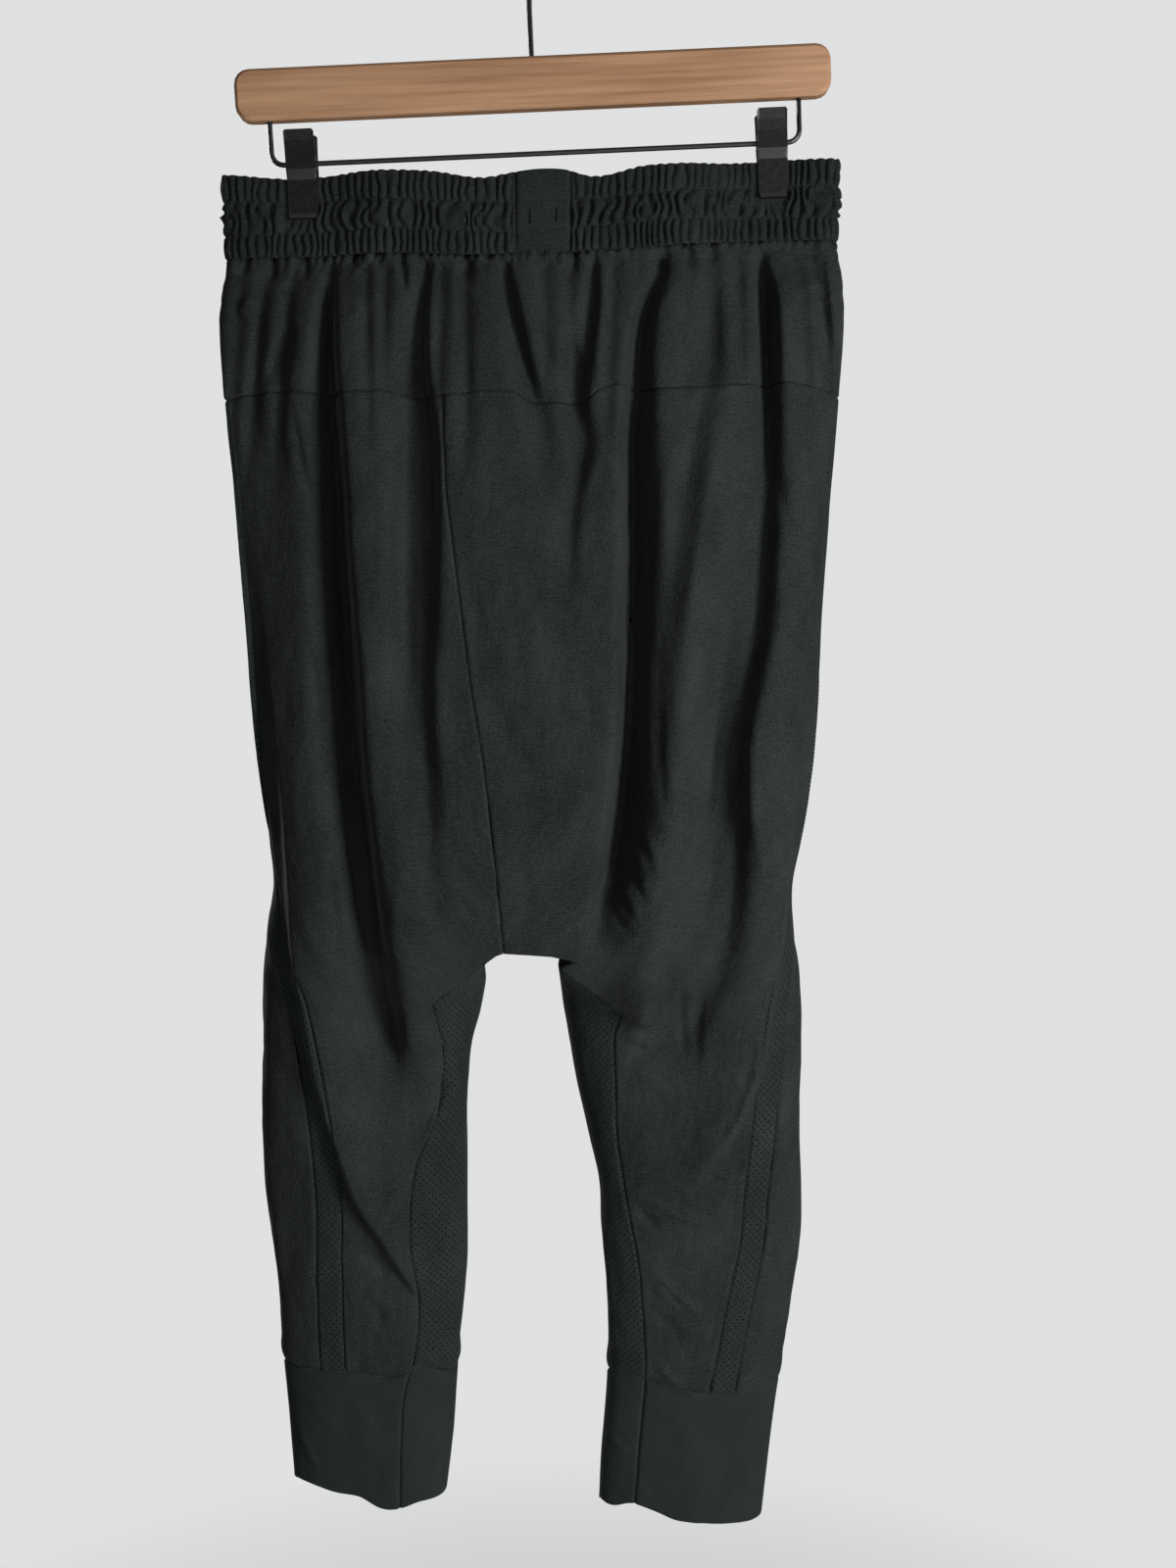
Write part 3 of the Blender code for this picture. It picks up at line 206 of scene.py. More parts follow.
# Folds of the front: height, place across, width to its left, width to its right, rise.
FRONT_FOLDS = {
    "left_valley": (
        (-232, -134, 5, 4, -10), (-258, -134, 6, 4.5, -16), (-285, -134, 9, 5, -18),
        (-311, -132, 16, 5, -20), (-353, -129.5, 20, 5, -24), (-419, -126.5, 23, 5, -28),
        (-496, -122, 24, 6, -29), (-576, -117, 24, 6, -28), (-634, -110.5, 24, 6.5, -25),
        (-678, -106, 22, 7, -20), (-723, -102, 18, 8, -14), (-753, -98, 13, 9, -7),
        (-785, -94, 12, 8, 0),
    ),
    "centre_left_valley": (
        (-230, -70, 5, 4, -8), (-260, -72, 10, 4, -14), (-293, -71, 16, 4, -17),
        (-315, -69, 19, 4.5, -17), (-344, -67, 20, 5, -17), (-388, -66, 21, 5, -16),
        (-440, -68, 21, 6, -14), (-500, -71, 20, 8, -11), (-620, -68, 16, 10, -5),
        (-680, -64, 14, 12, 0),
    ),
    "centre_diagonal": (
        (-228, -17, 5, 4, -7), (-250, -12, 7, 4, -12), (-266, -8, 8, 4, -12),
        (-290, -2, 8, 4.5, -10), (-313, 4, 9, 6, -7), (-345, 9, 9, 8, -4),
        (-376, 12, 9, 9, -2), (-420, 16, 9, 9, 0),
    ),
    "centre_right_valley": (
        (-228, 43, 4, 3, -7), (-250, 42, 7, 3.5, -10), (-281, 38, 10, 4, -9),
        (-311, 34, 16, 4, -9), (-342, 38, 17, 5, -8), (-375, 30, 14, 5, -6),
        (-419, 26, 11, 6, -3), (-470, 24, 10, 8, 0),
    ),
    "right_valley": (
        (-232, 87, 4, 5, -10), (-258, 77, 4.5, 6, -17), (-311, 70, 4.5, 9, -20),
        (-337, 67, 4, 12, -24), (-408, 67, 4, 16, -29), (-453, 65.5, 4, 19, -31),
        (-504, 65, 4, 21, -32), (-585, 59, 4, 21, -32), (-630, 53, 4, 18, -27),
        (-658, 47, 5, 14, -15), (-684, 44, 6, 12, 0),
    ),
    "right_middle_valley": (
        (-228, 119, 7, 7, -4), (-266, 120, 9, 8, -6), (-306, 117, 9, 9, -6),
        (-377, 103, 9, 9, -6), (-430, 96, 9, 10, -5), (-474, 90, 8, 10, -4),
        (-540, 86, 8, 10, 0),
    ),
    "right_soft_valley": (
        (-330, 137, 7, 7, 0), (-369, 137, 8, 8, -3), (-419, 136, 8, 8, -4),
        (-472, 133, 9, 9, -4), (-519, 124, 9, 10, -3), (-605, 117, 10, 10, -3),
        (-669, 101, 10, 10, -3), (-730, 95, 10, 10, -3), (-770, 95, 10, 10, 0),
    ),
    "far_right_valley": (
        (-230, 155, 5, 4, -11), (-252, 159, 8, 4, -17), (-304, 161, 11, 4.5, -18),
        (-364, 161, 18, 5, -18), (-419, 158, 23, 6, -17), (-474, 153, 27, 7, -17),
        (-506, 146, 28, 7, -17), (-548, 140, 28, 6, -17), (-591, 140, 27, 6, -16),
        (-640, 138, 24, 8, -13), (-695, 128, 18, 12, -10), (-744, 110, 14, 12, -6),
        (-778, 98, 14, 12, 0),
    ),
    "left_crevice": (
        (-232, -135, 5, 3, 0), (-258, -136, 6, 3.5, -8), (-311, -135, 7, 3.5, -11),
        (-353, -133, 8, 3.5, -12), (-419, -130.5, 9, 3.5, -13), (-496, -126.5, 9, 4, -13),
        (-576, -121, 9, 4, -13), (-634, -114.5, 9, 5, -10), (-690, -109, 9, 6, 0),
    ),
    "right_crevice": (
        (-250, 79, 3.5, 5, 0), (-311, 74, 4, 6, -5), (-337, 71, 4, 7, -9),
        (-408, 71, 4, 8, -14), (-453, 69.5, 4, 8, -15), (-504, 69, 4, 8, -15),
        (-585, 63, 4, 8, -14), (-630, 57, 4, 8, -9), (-660, 52, 4, 8, 0),
    ),
    "far_right_crevice": (
        (-228, 155, 4, 3, 0), (-250, 158, 6, 3, -9), (-290, 160, 7, 3, -10),
        (-330, 161, 6, 3, -4), (-370, 161, 6, 3, 0),
    ),
    "centre_left_trough": (
        (-270, -84, 8, 9, 0), (-300, -84, 9, 9, -6), (-350, -84, 9, 9, -9),
        (-420, -84, 9, 9, -9), (-480, -85, 9, 9, -7), (-560, -84, 10, 10, -2),
        (-600, -84, 10, 10, 0),
    ),
    "far_right_trough": (
        (-440, 130, 12, 12, 0), (-500, 126, 14, 12, -7), (-560, 123, 14, 12, -10),
        (-620, 121, 14, 12, -9), (-680, 116, 12, 12, -4), (-720, 112, 12, 12, 0),
    ),
    "left_turn": (
        (-232, -190, 30, 42, 0), (-300, -184, 28, 36, -12), (-420, -180, 28, 36, -20),
        (-520, -176, 28, 35, -20), (-600, -172, 28, 33, -14), (-680, -168, 26, 32, -3),
        (-720, -165, 26, 32, 0),
    ),
    "left_pouch": (
        (-560, -84, 16, 22, 0), (-680, -84, 14, 22, 8), (-735, -82, 13, 20, 14),
        (-752, -82, 12, 18, 14), (-768, -82, 11, 16, 3), (-790, -82, 11, 16, 0),
    ),
    "right_pouch": (
        (-560, 80, 20, 18, 0), (-690, 80, 20, 18, 8), (-726, 78, 20, 16, 14),
        (-738, 78, 18, 14, 13), (-748, 79, 17, 13, 3), (-770, 80, 14, 12, 0),
    ),
    "left_drape": (
        (-400, -188, 5, 25, 0), (-525, -178, 4, 30, 6), (-594, -171, 4, 30, 8),
        (-668, -164, 4, 34, 10), (-732, -157, 4, 34, 11), (-782, -148, 4, 30, 12),
        (-838, -131, 4, 28, 12), (-870, -120, 4, 24, 11), (-894, -106, 4, 20, 9),
        (-921, -91, 4, 14, 6), (-945, -78, 4, 10, 0),
    ),
    "right_drape": (
        (-350, 194, 22, 5, 0), (-474, 184, 25, 4, 6), (-568, 177, 28, 4, 8),
        (-629, 175, 30, 4, 9), (-688, 169, 30, 4, 10), (-740, 163, 30, 4, 11),
        (-774, 157, 30, 4, 11), (-797, 148, 28, 4, 10), (-818, 137, 26, 4, 8),
        (-842, 120, 22, 5, 4), (-862, 106, 20, 6, 0),
    ),
}
# Folds of the back, in the same way.
BACK_FOLDS = {
    "left_back_valley": (
        (-236, -104, 7, 8, -6), (-311, -106, 10, 16, -8), (-440, -104, 12, 20, -9),
        (-600, -98, 14, 20, -7), (-720, -92, 14, 18, -3), (-780, -90, 14, 16, 0),
    ),
    "centre_back_ridge": (
        (-290, -6, 20, 20, 0), (-420, -6, 24, 24, 3), (-640, -9, 26, 26, 4),
        (-700, -10, 22, 22, 0),
    ),
    "right_back_valley": (
        (-236, 90, 8, 7, -6), (-311, 96, 16, 10, -8), (-440, 98, 20, 12, -9),
        (-600, 94, 20, 14, -7), (-720, 90, 16, 14, -3), (-780, 88, 14, 14, 0),
    ),
}
# Puckers under the waistband: place at the band, place at the yoke seam, width, depth.
FRONT_PUCKERS = (
    (-193, -202, 6, 3), (-176, -188, 6, 5), (-159, -168, 6, 5), (-110, -106, 5, 4),
    (-97, -96, 5, 4), (-58, -60, 5, 3), (-43, -42, 5, 4), (8, 12, 6, 3),
    (26, 30, 5, 3), (56, 52, 5, 3), (107, 104, 6, 3), (139, 141, 5, 4), (180, 184, 6, 4),
    (197, 200, 5, 4),
)
BACK_PUCKERS = (
    (-190, -196, 7, 3), (-160, -160, 8, 5), (-128, -124, 8, 5), (-78, -70, 8, 5),
    (-48, -46, 8, 5), (-16, -14, 8, 5), (18, 20, 8, 5), (50, 50, 8, 5), (84, 82, 8, 4),
    (124, 124, 8, 5), (158, 160, 8, 5), (190, 195, 7, 3),
)
PUCKER_FADE = (-400 * MM, -290 * MM)
PUCKER_RUN = 1.6
FOLD_FADE = 12 * MM
# The depth at which folds reach their full rise, at the front and at the back.
FOLD_DEPTH = (16 * MM, 14 * MM)

# How finely the cloth is drawn.
CLOTH = 1.1 * MM
ROW_STEP = 2.6 * MM
COLUMN_STEP = {"front": 2.0 * MM, "strip": 2.0 * MM, "back": 3.6 * MM, "inner": 3.0 * MM}
EDGE_STEPS = (0, 0.6, 1.3, 2.1, 3.1)
CUFF_STEP = 2.5 * MM
SAMPLED_ROWS = 12
YOKE_STEP = (1.3 * MM, 2.0 * MM)
CENTRE_STEP = 0.8 * MM
CENTRE_ROWS = 17
SEAM_ROLL = 1.1 * MM
SEAM_ROLL_WIDTH = 2.0 * MM

# Which solid and which finish each span of cloth has, and how uneven it hangs.
SPAN_NODE = {"front": "front", "strip": "side_strip", "back": "back", "inner": "inner_leg"}
SPAN_SLOT = {
    "front": "body_cloth", "strip": "perforated_cloth", "back": "body_cloth",
    "inner": "perforated_cloth",
}
SPAN_SOFTNESS = {"front": 1.0, "strip": 0.5, "back": 1.6, "inner": 0.8}
CUFF_SOFTNESS = 0.6
YOKE_SOFTNESS = 0.8
# The unevenness: height of its waves, their width and their length, in millimetres.
SOFT_WAVES = ((0.7, 19, 75), (0.3, 8, 27), (0.12, 3.5, 9))
NOISE_MIX = (127.1, 311.7, 74.7, 43758.5453)
YOKE_FRONT = (
    ("left", "strip", -1, 0.0, 0.5), ("left", "front", -1), ("right", "front", 1),
    ("right", "strip", 1, 0.0, 0.5),
)
YOKE_BACK = (
    ("left", "strip", 1, 0.5, 1.0), ("left", "back", 1), ("right", "back", -1),
    ("right", "strip", -1, 0.5, 1.0),
)
# The yoke's gathers: pitch, rise, how far they run down at most, how much their pitch and
# their length vary and over how many gathers, how sharp the valleys are, and the rise from
# a valley to a ridge and how far the valleys lie below the cloth.
YOKE_GATHER_PITCH = 7.0 * MM
YOKE_GATHER_RISE = 2.4 * MM
YOKE_GATHER_LENGTH = 16 * MM
YOKE_GATHER_DRIFT = 0.6
YOKE_GATHER_SHORTER = 0.45
YOKE_GATHER_SHORTEST = 0.15
YOKE_DRIFT_RUN, YOKE_LENGTH_RUN = 2.5, 1.7
YOKE_GATHER_POWER = 0.55
YOKE_GATHER_SWING, YOKE_GATHER_SUNK = 1.7, 1.2
# The yoke's top edge goes up and in, behind the waistband.
YOKE_TUCK = 3 * MM
YOKE_TUCK_DEPTH = 0.8 * MM
# The leg over the cuff: its bulge, and the ripples in it.
CUFF_BULGE = 1.2 * MM
CUFF_BULGE_START, CUFF_BULGE_END = 2.4, 0.4
CUFF_RIPPLE = 1.3 * MM
CUFF_RIPPLE_WIDTH = 17 * MM
CUFF_RIPPLE_HEIGHT = 16 * MM
CUFF_RIPPLE_RUN = 0.7
CUFF_SMALL_RIPPLE = 0.4

# Waistband channels: gathers for each of the solid's, their rise, the channel's puff,
# how far the folds slant and how far they wander.
CHANNELS = (
    (1.33, 3.4 * MM, 0.9 * MM, 0.35, 0.5),
    (0.95, 5.4 * MM, 1.2 * MM, 1.2, 2.1),
    (1.4, 3.4 * MM, 0.8 * MM, 0.3, 0.4),
)
CHANNEL_PLACES = (0, 0.05, 0.11, 0.19, 0.3, 0.42, 0.54, 0.66, 0.77, 0.87, 0.94)
GATHER_STEPS = 13
GATHER_DRIFT = 0.5
# How many gathers the drift, the slant, the wandering and the size take to change.
DRIFT_RUN, SLANT_RUN, WANDER_RUN, SIZE_RUN = 3, 1.3, 2.2, 1.1
SLANT_TURNS = 1.5
GATHER_SIZE, GATHER_SIZE_SWING = 0.8, 0.4
GATHER_POWER, GATHER_MIDDLE = 0.9, 0.45
CHANNEL_POWER = 0.45
# The clips press the waistband down to this line, and let go over this much of it.
PRESSED_TO, PRESSED_FADE = 1.5, 0.35
# The waistband's ends go under the centre panel.
BAND_LAP = 1.0 * MM
BAND_LAP_DEPTH = 1.3 * MM
BAND_LAP_GATHERS = 0.6
STITCH_PUCKER = 1.1 * MM
STITCH_PUCKER_MIDDLE = 0.6
TOP_SCALLOP = 0.6 * MM
# The centre panel: depth and width of its stitch lines, how uneven it is, and the width
# and the count of those waves.
PANEL_SUNK = 0.45
PANEL_SUNK_WIDTH = 0.06
PANEL_UNEVEN = 0.25
PANEL_WAVE, PANEL_WAVES = 9 * MM, 1.5

# Creases seen from the front: width to the left and to the right of the line as it runs
# down, rise, then across and up for each of the line's points.
CREASES = (
    (3, 3, -3, -173, -208, -174, -236), (4, 3, 1.2, -159, -207, -163, -236, -166, -243),
    (3, 3, -3, -154, -206, -150, -236), (3, 7, -3, -160, -258, -168, -279, -182, -308),
    (4, 4, 1.6, -186, -245, -193, -253, -199, -257), (3, 4, -3, -191, -206, -195, -233),
    (4, 4, -3, -117, -206, -120, -229), (3, 3, -3, -89, -207, -83, -236, -78, -249),
    (3, 3, -3, -101, -206, -102, -229), (5, 4, -3, -42, -206, -43, -239),
    (4, 4, -2.5, -26, -206, -27, -229), (5, 3, -3, 25, -266, 33, -292, 37, -313),
    (3, 3, -3, 30, -206, 29, -233), (4, 4, -3, 104, -201, 107, -229),
    (4, 4, -3, 122, -199, 122, -225), (3, 3, 1.8, 195, -195, 202, -239, 205, -276, 204, -305),
    (5, 3, -2.5, 186, -198, 196, -246, 200, -279), (5, 5, 1.2, 108, -229, 106, -266, 104, -302),
    (5, 5, 1, 131, -229, 131, -266, 130, -302), (4, 6, 1, -111, -239, -115, -266),
    (3, 3, -1.6, -161, -315, -154, -356, -147, -388), (2.5, 2.5, -1.2, -151, -315, -147, -337),
    (2.5, 2.5, -1.2, -137, -315, -135, -337), (3, 3, -2, -135, -414, -129, -453, -128, -498),
    (4, 4, -1.5, -152, -465, -145, -517, -143, -570),
    (3, 3, -2.2, -127, -570, -124, -616, -118, -656, -108, -696),
    (3, 3, -1.8, -138, -609, -134, -656, -126, -703), (4, 5, 1, -91, -337, -95, -388, -99, -440),
    (5, 5, -1, -88, -414, -83, -465, -81, -504), (4, 4, 0.9, -65, -465, -61, -517, -58, -570),
    (5, 6, -1, -75, -530, -68, -570, -69, -622), (4, 4, 0.8, -85, -622, -90, -656, -92, -690),
    (5, 8, -1.1, -26, -504, -13, -543, 3, -570), (6, 6, 0.7, -13, -414, 0, -465, 10, -517),
    (5, 5, -0.8, -42, -414, -37, -453, -31, -491), (4, 4, 0.7, 39, -376, 34, -414, 33, -453),
    (6, 8, -0.8, 33, -465, 39, -517, 36, -570), (5, 5, -0.7, -7, -603, -3, -636, -1, -669),
    (2.5, 3, 2.4, 69, -324, 74, -351, 75, -363), (2.5, 2.5, -1.8, 72, -376, 66, -395, 69, -411),
    (2.5, 3, 2.2, 73, -388, 75, -404, 70, -420), (2.5, 3, 2, 65, -430, 70, -453, 70, -478),
    (2.5, 2.5, 1.8, 65, -609, 73, -619, 80, -629), (2.5, 2.5, 1.8, 60, -639, 69, -649, 75, -662),
    (2.5, 2.5, -1.8, 65, -626, 72, -639, 79, -652), (2.5, 2.5, 1.6, 75, -599, 84, -616, 86, -636),
    (2.5, 2.5, -1.5, 54, -656, 63, -666, 72, -672), (3, 3, 1.4, 83, -465, 81, -517, 83, -570),
    (3, 3, -1.2, 88, -504, 87, -556, 92, -603),
    (4, 4, 1.3, 126, -324, 118, -376, 109, -433, 100, -498),
    (4, 4, -1.6, 150, -376, 148, -414, 146, -465), (3, 3, -1.5, 159, -388, 157, -440, 154, -491),
    (4, 4, -1.2, 145, -517, 138, -570, 132, -622), (4, 4, 1, 135, -517, 128, -570, 121, -622),
    (3, 3, 1.6, 155, -504, 149, -548, 151, -591, 156, -625, 160, -649),
    (4, 4, -1.3, 124, -622, 116, -669, 105, -710), (3, 3, -1.6, 96, -676, 95, -710, 92, -734),
    (3, 3, -1.4, 105, -703, 104, -738, 106, -767), (4, 4, -1.2, 119, -703, 114, -745, 115, -781),
    (3, 3, 1.2, 172, -331, 176, -356, 176, -388), (3, 3, -1.4, 166, -356, 170, -382, 172, -404),
    (8, 1.8, -4.2, 51, -724, 66, -737, 80, -744, 91, -744, 97, -735),
    (2.5, 3, 1.6, 61, -747, 79, -753, 91, -747), (3, 3, -2, 66, -756, 81, -760, 95, -752),
    (2.5, 2.5, -2, -57, -713, -68, -728, -73, -739), (4, 4, 1.5, -84, -761, -76, -758, -69, -745),
    (2.5, 3, 1.6, -108, -873, -96, -861, -84, -856),
    (3, 3, -1.2, -104, -881, -92, -870, -82, -865),
    (2.5, 2.5, 1, -129, -891, -120, -894, -110, -900),
    (5, 5, -1.6, -126, -903, -110, -914, -100, -929),
    (5, 5, -1.5, -116, -940, -109, -955, -111, -968),
    (3, 3, 1.5, -111, -1003, -96, -1002, -84, -991, -75, -985),
    (3, 3, 1.5, -177, -941, -171, -963, -165, -990),
    (2.5, 3, 1.4, -177, -985, -170, -994, -159, -999),
    (3, 3, -1.6, -176, -796, -165, -818, -154, -833),
    (3, 3, 1.3, -177, -703, -168, -724, -160, -745),
    (4, 4, -2, -168, -745, -166, -774, -162, -796),
    (3, 3, 1.3, -179, -803, -171, -822, -158, -836),
    (4, 4, -1.4, -174, -833, -164, -844, -152, -851),
    (4, 4, 1.1, -181, -873, -168, -877, -152, -874),
    (4, 4, -1.1, -179, -899, -165, -903, -151, -899),
    (3.5, 3.5, 1.2, -172, -929, -162, -926, -151, -931),
    (4, 4, -1.3, -69, -792, -61, -781, -53, -774),
    (2.5, 4, 1.6, -47, -768, -59, -792, -70, -812, -81, -839),
    (3, 3, 1.2, -81, -935, -72, -937, -62, -934), (4, 4, -1.2, -80, -955, -67, -961, -56, -956),
    (4, 4, 1, -82, -993, -68, -982, -56, -979),
    (3, 3, 1.2, -173, -1037, -165, -1057, -154, -1078),
    (3, 3, 1.1, -59, -1035, -68, -1044, -79, -1058),
    (7, 7, 1.2, -129, -1016, -123, -1042, -118, -1069),
    (4, 4, 0.8, -165, -1020, -151, -1031, -141, -1046),
    (2.2, 3, 1.8, 67, -865, 83, -870, 102, -879, 134, -888),
    (4, 4, -2, 72, -877, 80, -881, 89, -889),
    (2.2, 3, 1.6, 81, -920, 95, -931, 109, -944, 124, -958),
    (2.5, 3, 1, 83, -929, 95, -940, 105, -952), (4, 4, -1.2, 84, -952, 98, -961, 109, -974),
    (2.5, 3, 1.6, 82, -984, 92, -994, 102, -1005, 115, -1014, 125, -1015),
    (2.5, 3, 1.2, 83, -1000, 95, -1006, 111, -1013),
    (3.5, 4, 1.2, 100, -973, 115, -967, 130, -965), (4, 4, -1.1, 102, -986, 115, -979, 130, -977),
    (5, 5, 1, 101, -840, 118, -837, 138, -825), (4, 4, -1, 94, -855, 118, -856, 138, -851),
    (3, 3, 1.4, 181, -950, 169, -965, 156, -980), (3, 3, 1.3, 153, -1014, 164, -1009, 175, -1000),
    (3, 3, 1.1, 162, -990, 172, -979, 180, -968), (4, 4, -1.1, 160, -922, 172, -929, 182, -928),
    (3.5, 3.5, 1.1, 163, -881, 174, -889, 184, -887),
    (4, 4, -1.2, 166, -840, 176, -848, 185, -859), (3, 3, 1.2, 171, -781, 177, -796, 183, -803),
    (2.2, 3, 1.5, 47, -877, 51, -914, 57, -952, 63, -971),
    (3.5, 3.5, 1, 49, -944, 56, -971, 64, -994),
    (3, 4, 1.6, 159, -747, 155, -772, 144, -807, 122, -840),
    (3.5, 3.5, 0.9, 52, -1047, 62, -1057, 73, -1065),
    (5, 5, 0.8, 67, -1088, 76, -1086, 87, -1091), (8, 8, 0.8, 110, -1027, 118, -1065, 121, -1103),
    (7, 7, -0.7, 141, -1027, 138, -1065, 135, -1103),
)
# How far past its line a crease is drawn, in millimetres, the share of its length over
# which it fades at each end, how strongly all are drawn, and how soon they begin as the
# cloth turns from the side to the front.
CREASE_REACH = 18
CREASE_FADE = 0.35
CREASE_STRENGTH = 1.4
CREASE_FACING = 1.5

# Holes of the perforated cloth: pitch across and down, radius and soft edge. The holes are
# painted in the near-black shade of the garment's inside seen through them.
HOLE_PITCH = (5.0 * MM, 2.5 * MM)
HOLE_RADIUS = 0.75 * MM
HOLE_SOFTNESS = 0.25 * MM
HOLE_SHADE_COLOUR = (0.0018, 0.0022, 0.0022, 1)

# Unevenness of the finishes: scale in each direction, detail and roughness.
FINE_GRAIN = ((520, 1000, 1), 3.0, 0.65)
CUFF_GRAIN = ((1300, 800, 1), 3.0, 0.65)
STREAKS = ((90, 900, 1), 2.0, 0.6)
BROAD_SHADES = ((22, 13, 1), 3.0, 0.6)
CRUMPLES = ((70, 38, 1), 4.0, 0.62)
WOOD_WARP = ((5, 20, 25), 2.0, 0.5)
WOOD_GRAIN = ((10, 120, 300), 4.0, 0.62)
WOOD_PORES = ((45, 900, 1500), 2.0, 0.6)
METAL_WEAR = ((300, 300, 300), 3.0, 0.6)
THREAD_TWIST = ((900, 900, 900), 1.0, 0.5)
FLOOR_CLOUDS = ((3, 3, 3), 2.0, 0.5)
# How much of each goes into the colour, and the contrast and the level of the sum.
FINE_SHARE, STREAK_SHARE, BROAD_SHARE = 0.9, 0.35, 0.45
WARP_SHARE, WOOD_GRAIN_SHARE = 0.7, 0.75
CLOTH_TONE, WOOD_TONE, PORE_TONE = (3.0, -2.05), (2.0, -0.95), (2.2, -1.36)
METAL_ROUGHNESS = (0.2, 0.28)
# Strength and depth of the bumps.
CRUMPLE_BUMP = (0.8, 2.4 * MM)
GRAIN_BUMP = (0.12, 0.5 * MM)
HOLE_BUMP = (0.5, 0.5 * MM)
WOOD_BUMP = (0.08, 0.4 * MM)

# Sewing: how long a stitch is, the pitch of the stitches and their width.
TOPSTITCH = (2.1 * MM, 2.9 * MM, 0.36 * MM)
BAND_STITCH = (1.8 * MM, 2.7 * MM, 0.42 * MM)
BUTTONHOLE_STITCH = (0.42 * MM, 0.6 * MM, 1.7 * MM)
STITCH_RINGS = (0, 0.15, 0.5, 0.85, 1)
STITCH_SHAPE = (0.3, 0.85, 1.0, 0.85, 0.3)
STITCH_SIDES = 5
STITCH_LOW, STITCH_HIGH = 0.35, 0.8
# Where the lines of stitches run: off the side strip, the cuff and the panel's edges, and
# the buttonholes' places across and their ends, counted in the waistband's lines.
STRIP_SEAM_STITCHES = (1.6 * MM, 5.2 * MM)
CUFF_SEAM_STITCHES = 2.2 * MM
PANEL_STITCHES = 1.8 * MM
BUTTONHOLES = (0.5 * MM, 18.1 * MM)
BUTTONHOLE_LOW, BUTTONHOLE_HIGH = 1.2, 1.8

# Clip springs
SPRING_WIRE = 0.55 * MM
SPRING_ROOM = 1.6 * MM
SPRING_TURNS = 11
SPRING_STEPS = 20
SPRING_SIDES = 8

# Colours of the cloths and the metal in linear light, and of the wood and the thread as
# on a screen.
CLOTH_DARK, CLOTH_LIGHT = (0.0076, 0.0092, 0.0091, 1), (0.0257, 0.0296, 0.0290, 1)
BAND_DARK, BAND_LIGHT = (0.0058, 0.0072, 0.0072, 1), (0.0205, 0.0238, 0.0234, 1)
HOLED_DARK, HOLED_LIGHT = (0.0076, 0.0102, 0.0106, 1), (0.0222, 0.0272, 0.0276, 1)
CUFF_DARK, CUFF_LIGHT = (0.0100, 0.0130, 0.0133, 1), (0.0190, 0.0238, 0.0240, 1)
METAL_DARK, METAL_LIGHT = (0.006, 0.006, 0.007, 1), (0.017, 0.018, 0.019, 1)
WOOD_DARK, WOOD_LIGHT, WOOD_PORE = (144, 106, 76), (192, 150, 116), (118, 86, 62)
THREAD_DARK, THREAD_LIGHT = (14, 18, 18), (32, 38, 38)

# Studio
WORLD_COLOUR, WORLD_STRENGTH = (0.745, 0.75, 0.755), 1.0
AMBIENT_STRENGTH = 0.045
LIGHT_COLOUR = (1.0, 1.0, 1.0)
LIGHTS = (
    # name, place, aimed at, size, power
    ("window", (1.02, -1.04, -0.6), (0, 0, -0.7), (0.4, 1.0), 25),
    ("front lamp", (0.2, -1.5, -0.9), (0, 0, -0.75), (1.2, 0.4), 6),
    ("ceiling", (0.1, -1.2, 1.0), (0, 0, -0.6), (2.0, 0.6), 4),
    ("back window", (-1.5, 1.5, 0.1), (0, 0, -0.6), (0.5, 1.0), 22),
    ("back lamp", (1.4, 1.6, 0.6), (0, 0, -0.6), (0.8, 0.8), 8),
)
FLOOR_LEVEL, FLOOR_RADIUS, FLOOR_STEP = -1.75, 1.2, 3.75
FLOOR_DARK, FLOOR_LIGHT = (0.84, 0.84, 0.84, 1), (0.9, 0.9, 0.9, 1)
FLOOR_FADE = 1.6
CAMERA_PLACE = (0.039, -1.1, -0.4525)
CAMERA_DOWN = math.radians(6.39)
CAMERA_LENS = 36.18
CAMERA_SENSOR = 36


def smooth(t):
    """0 below 0 and 1 above 1, with level ends."""
    t = np.clip(t, 0.0, 1.0)
    return t * t * (3 - 2 * t)


def ramp(value, low, high):
    return np.clip((value - low) / (high - low), 0.0, 1.0)


def curve(rows, column, at):
    """A smooth line through one column of a table, read by the table's first column."""
    table = np.array(sorted(rows), float) * MM
    x, y = table[:, 0], table[:, column]
    slope = np.gradient(y, x)
    at = np.clip(np.asarray(at, float), x[0], x[-1])
    i = np.clip(np.searchsorted(x, at) - 1, 0, len(x) - 2)
    span = x[i + 1] - x[i]
    t = (at - x[i]) / span
    return (
        (2 * t**3 - 3 * t**2 + 1) * y[i]
        + (t**3 - 2 * t**2 + t) * span * slope[i]
        + (3 * t**2 - 2 * t**3) * y[i + 1]
        + (t**3 - t**2) * span * slope[i + 1]
    )


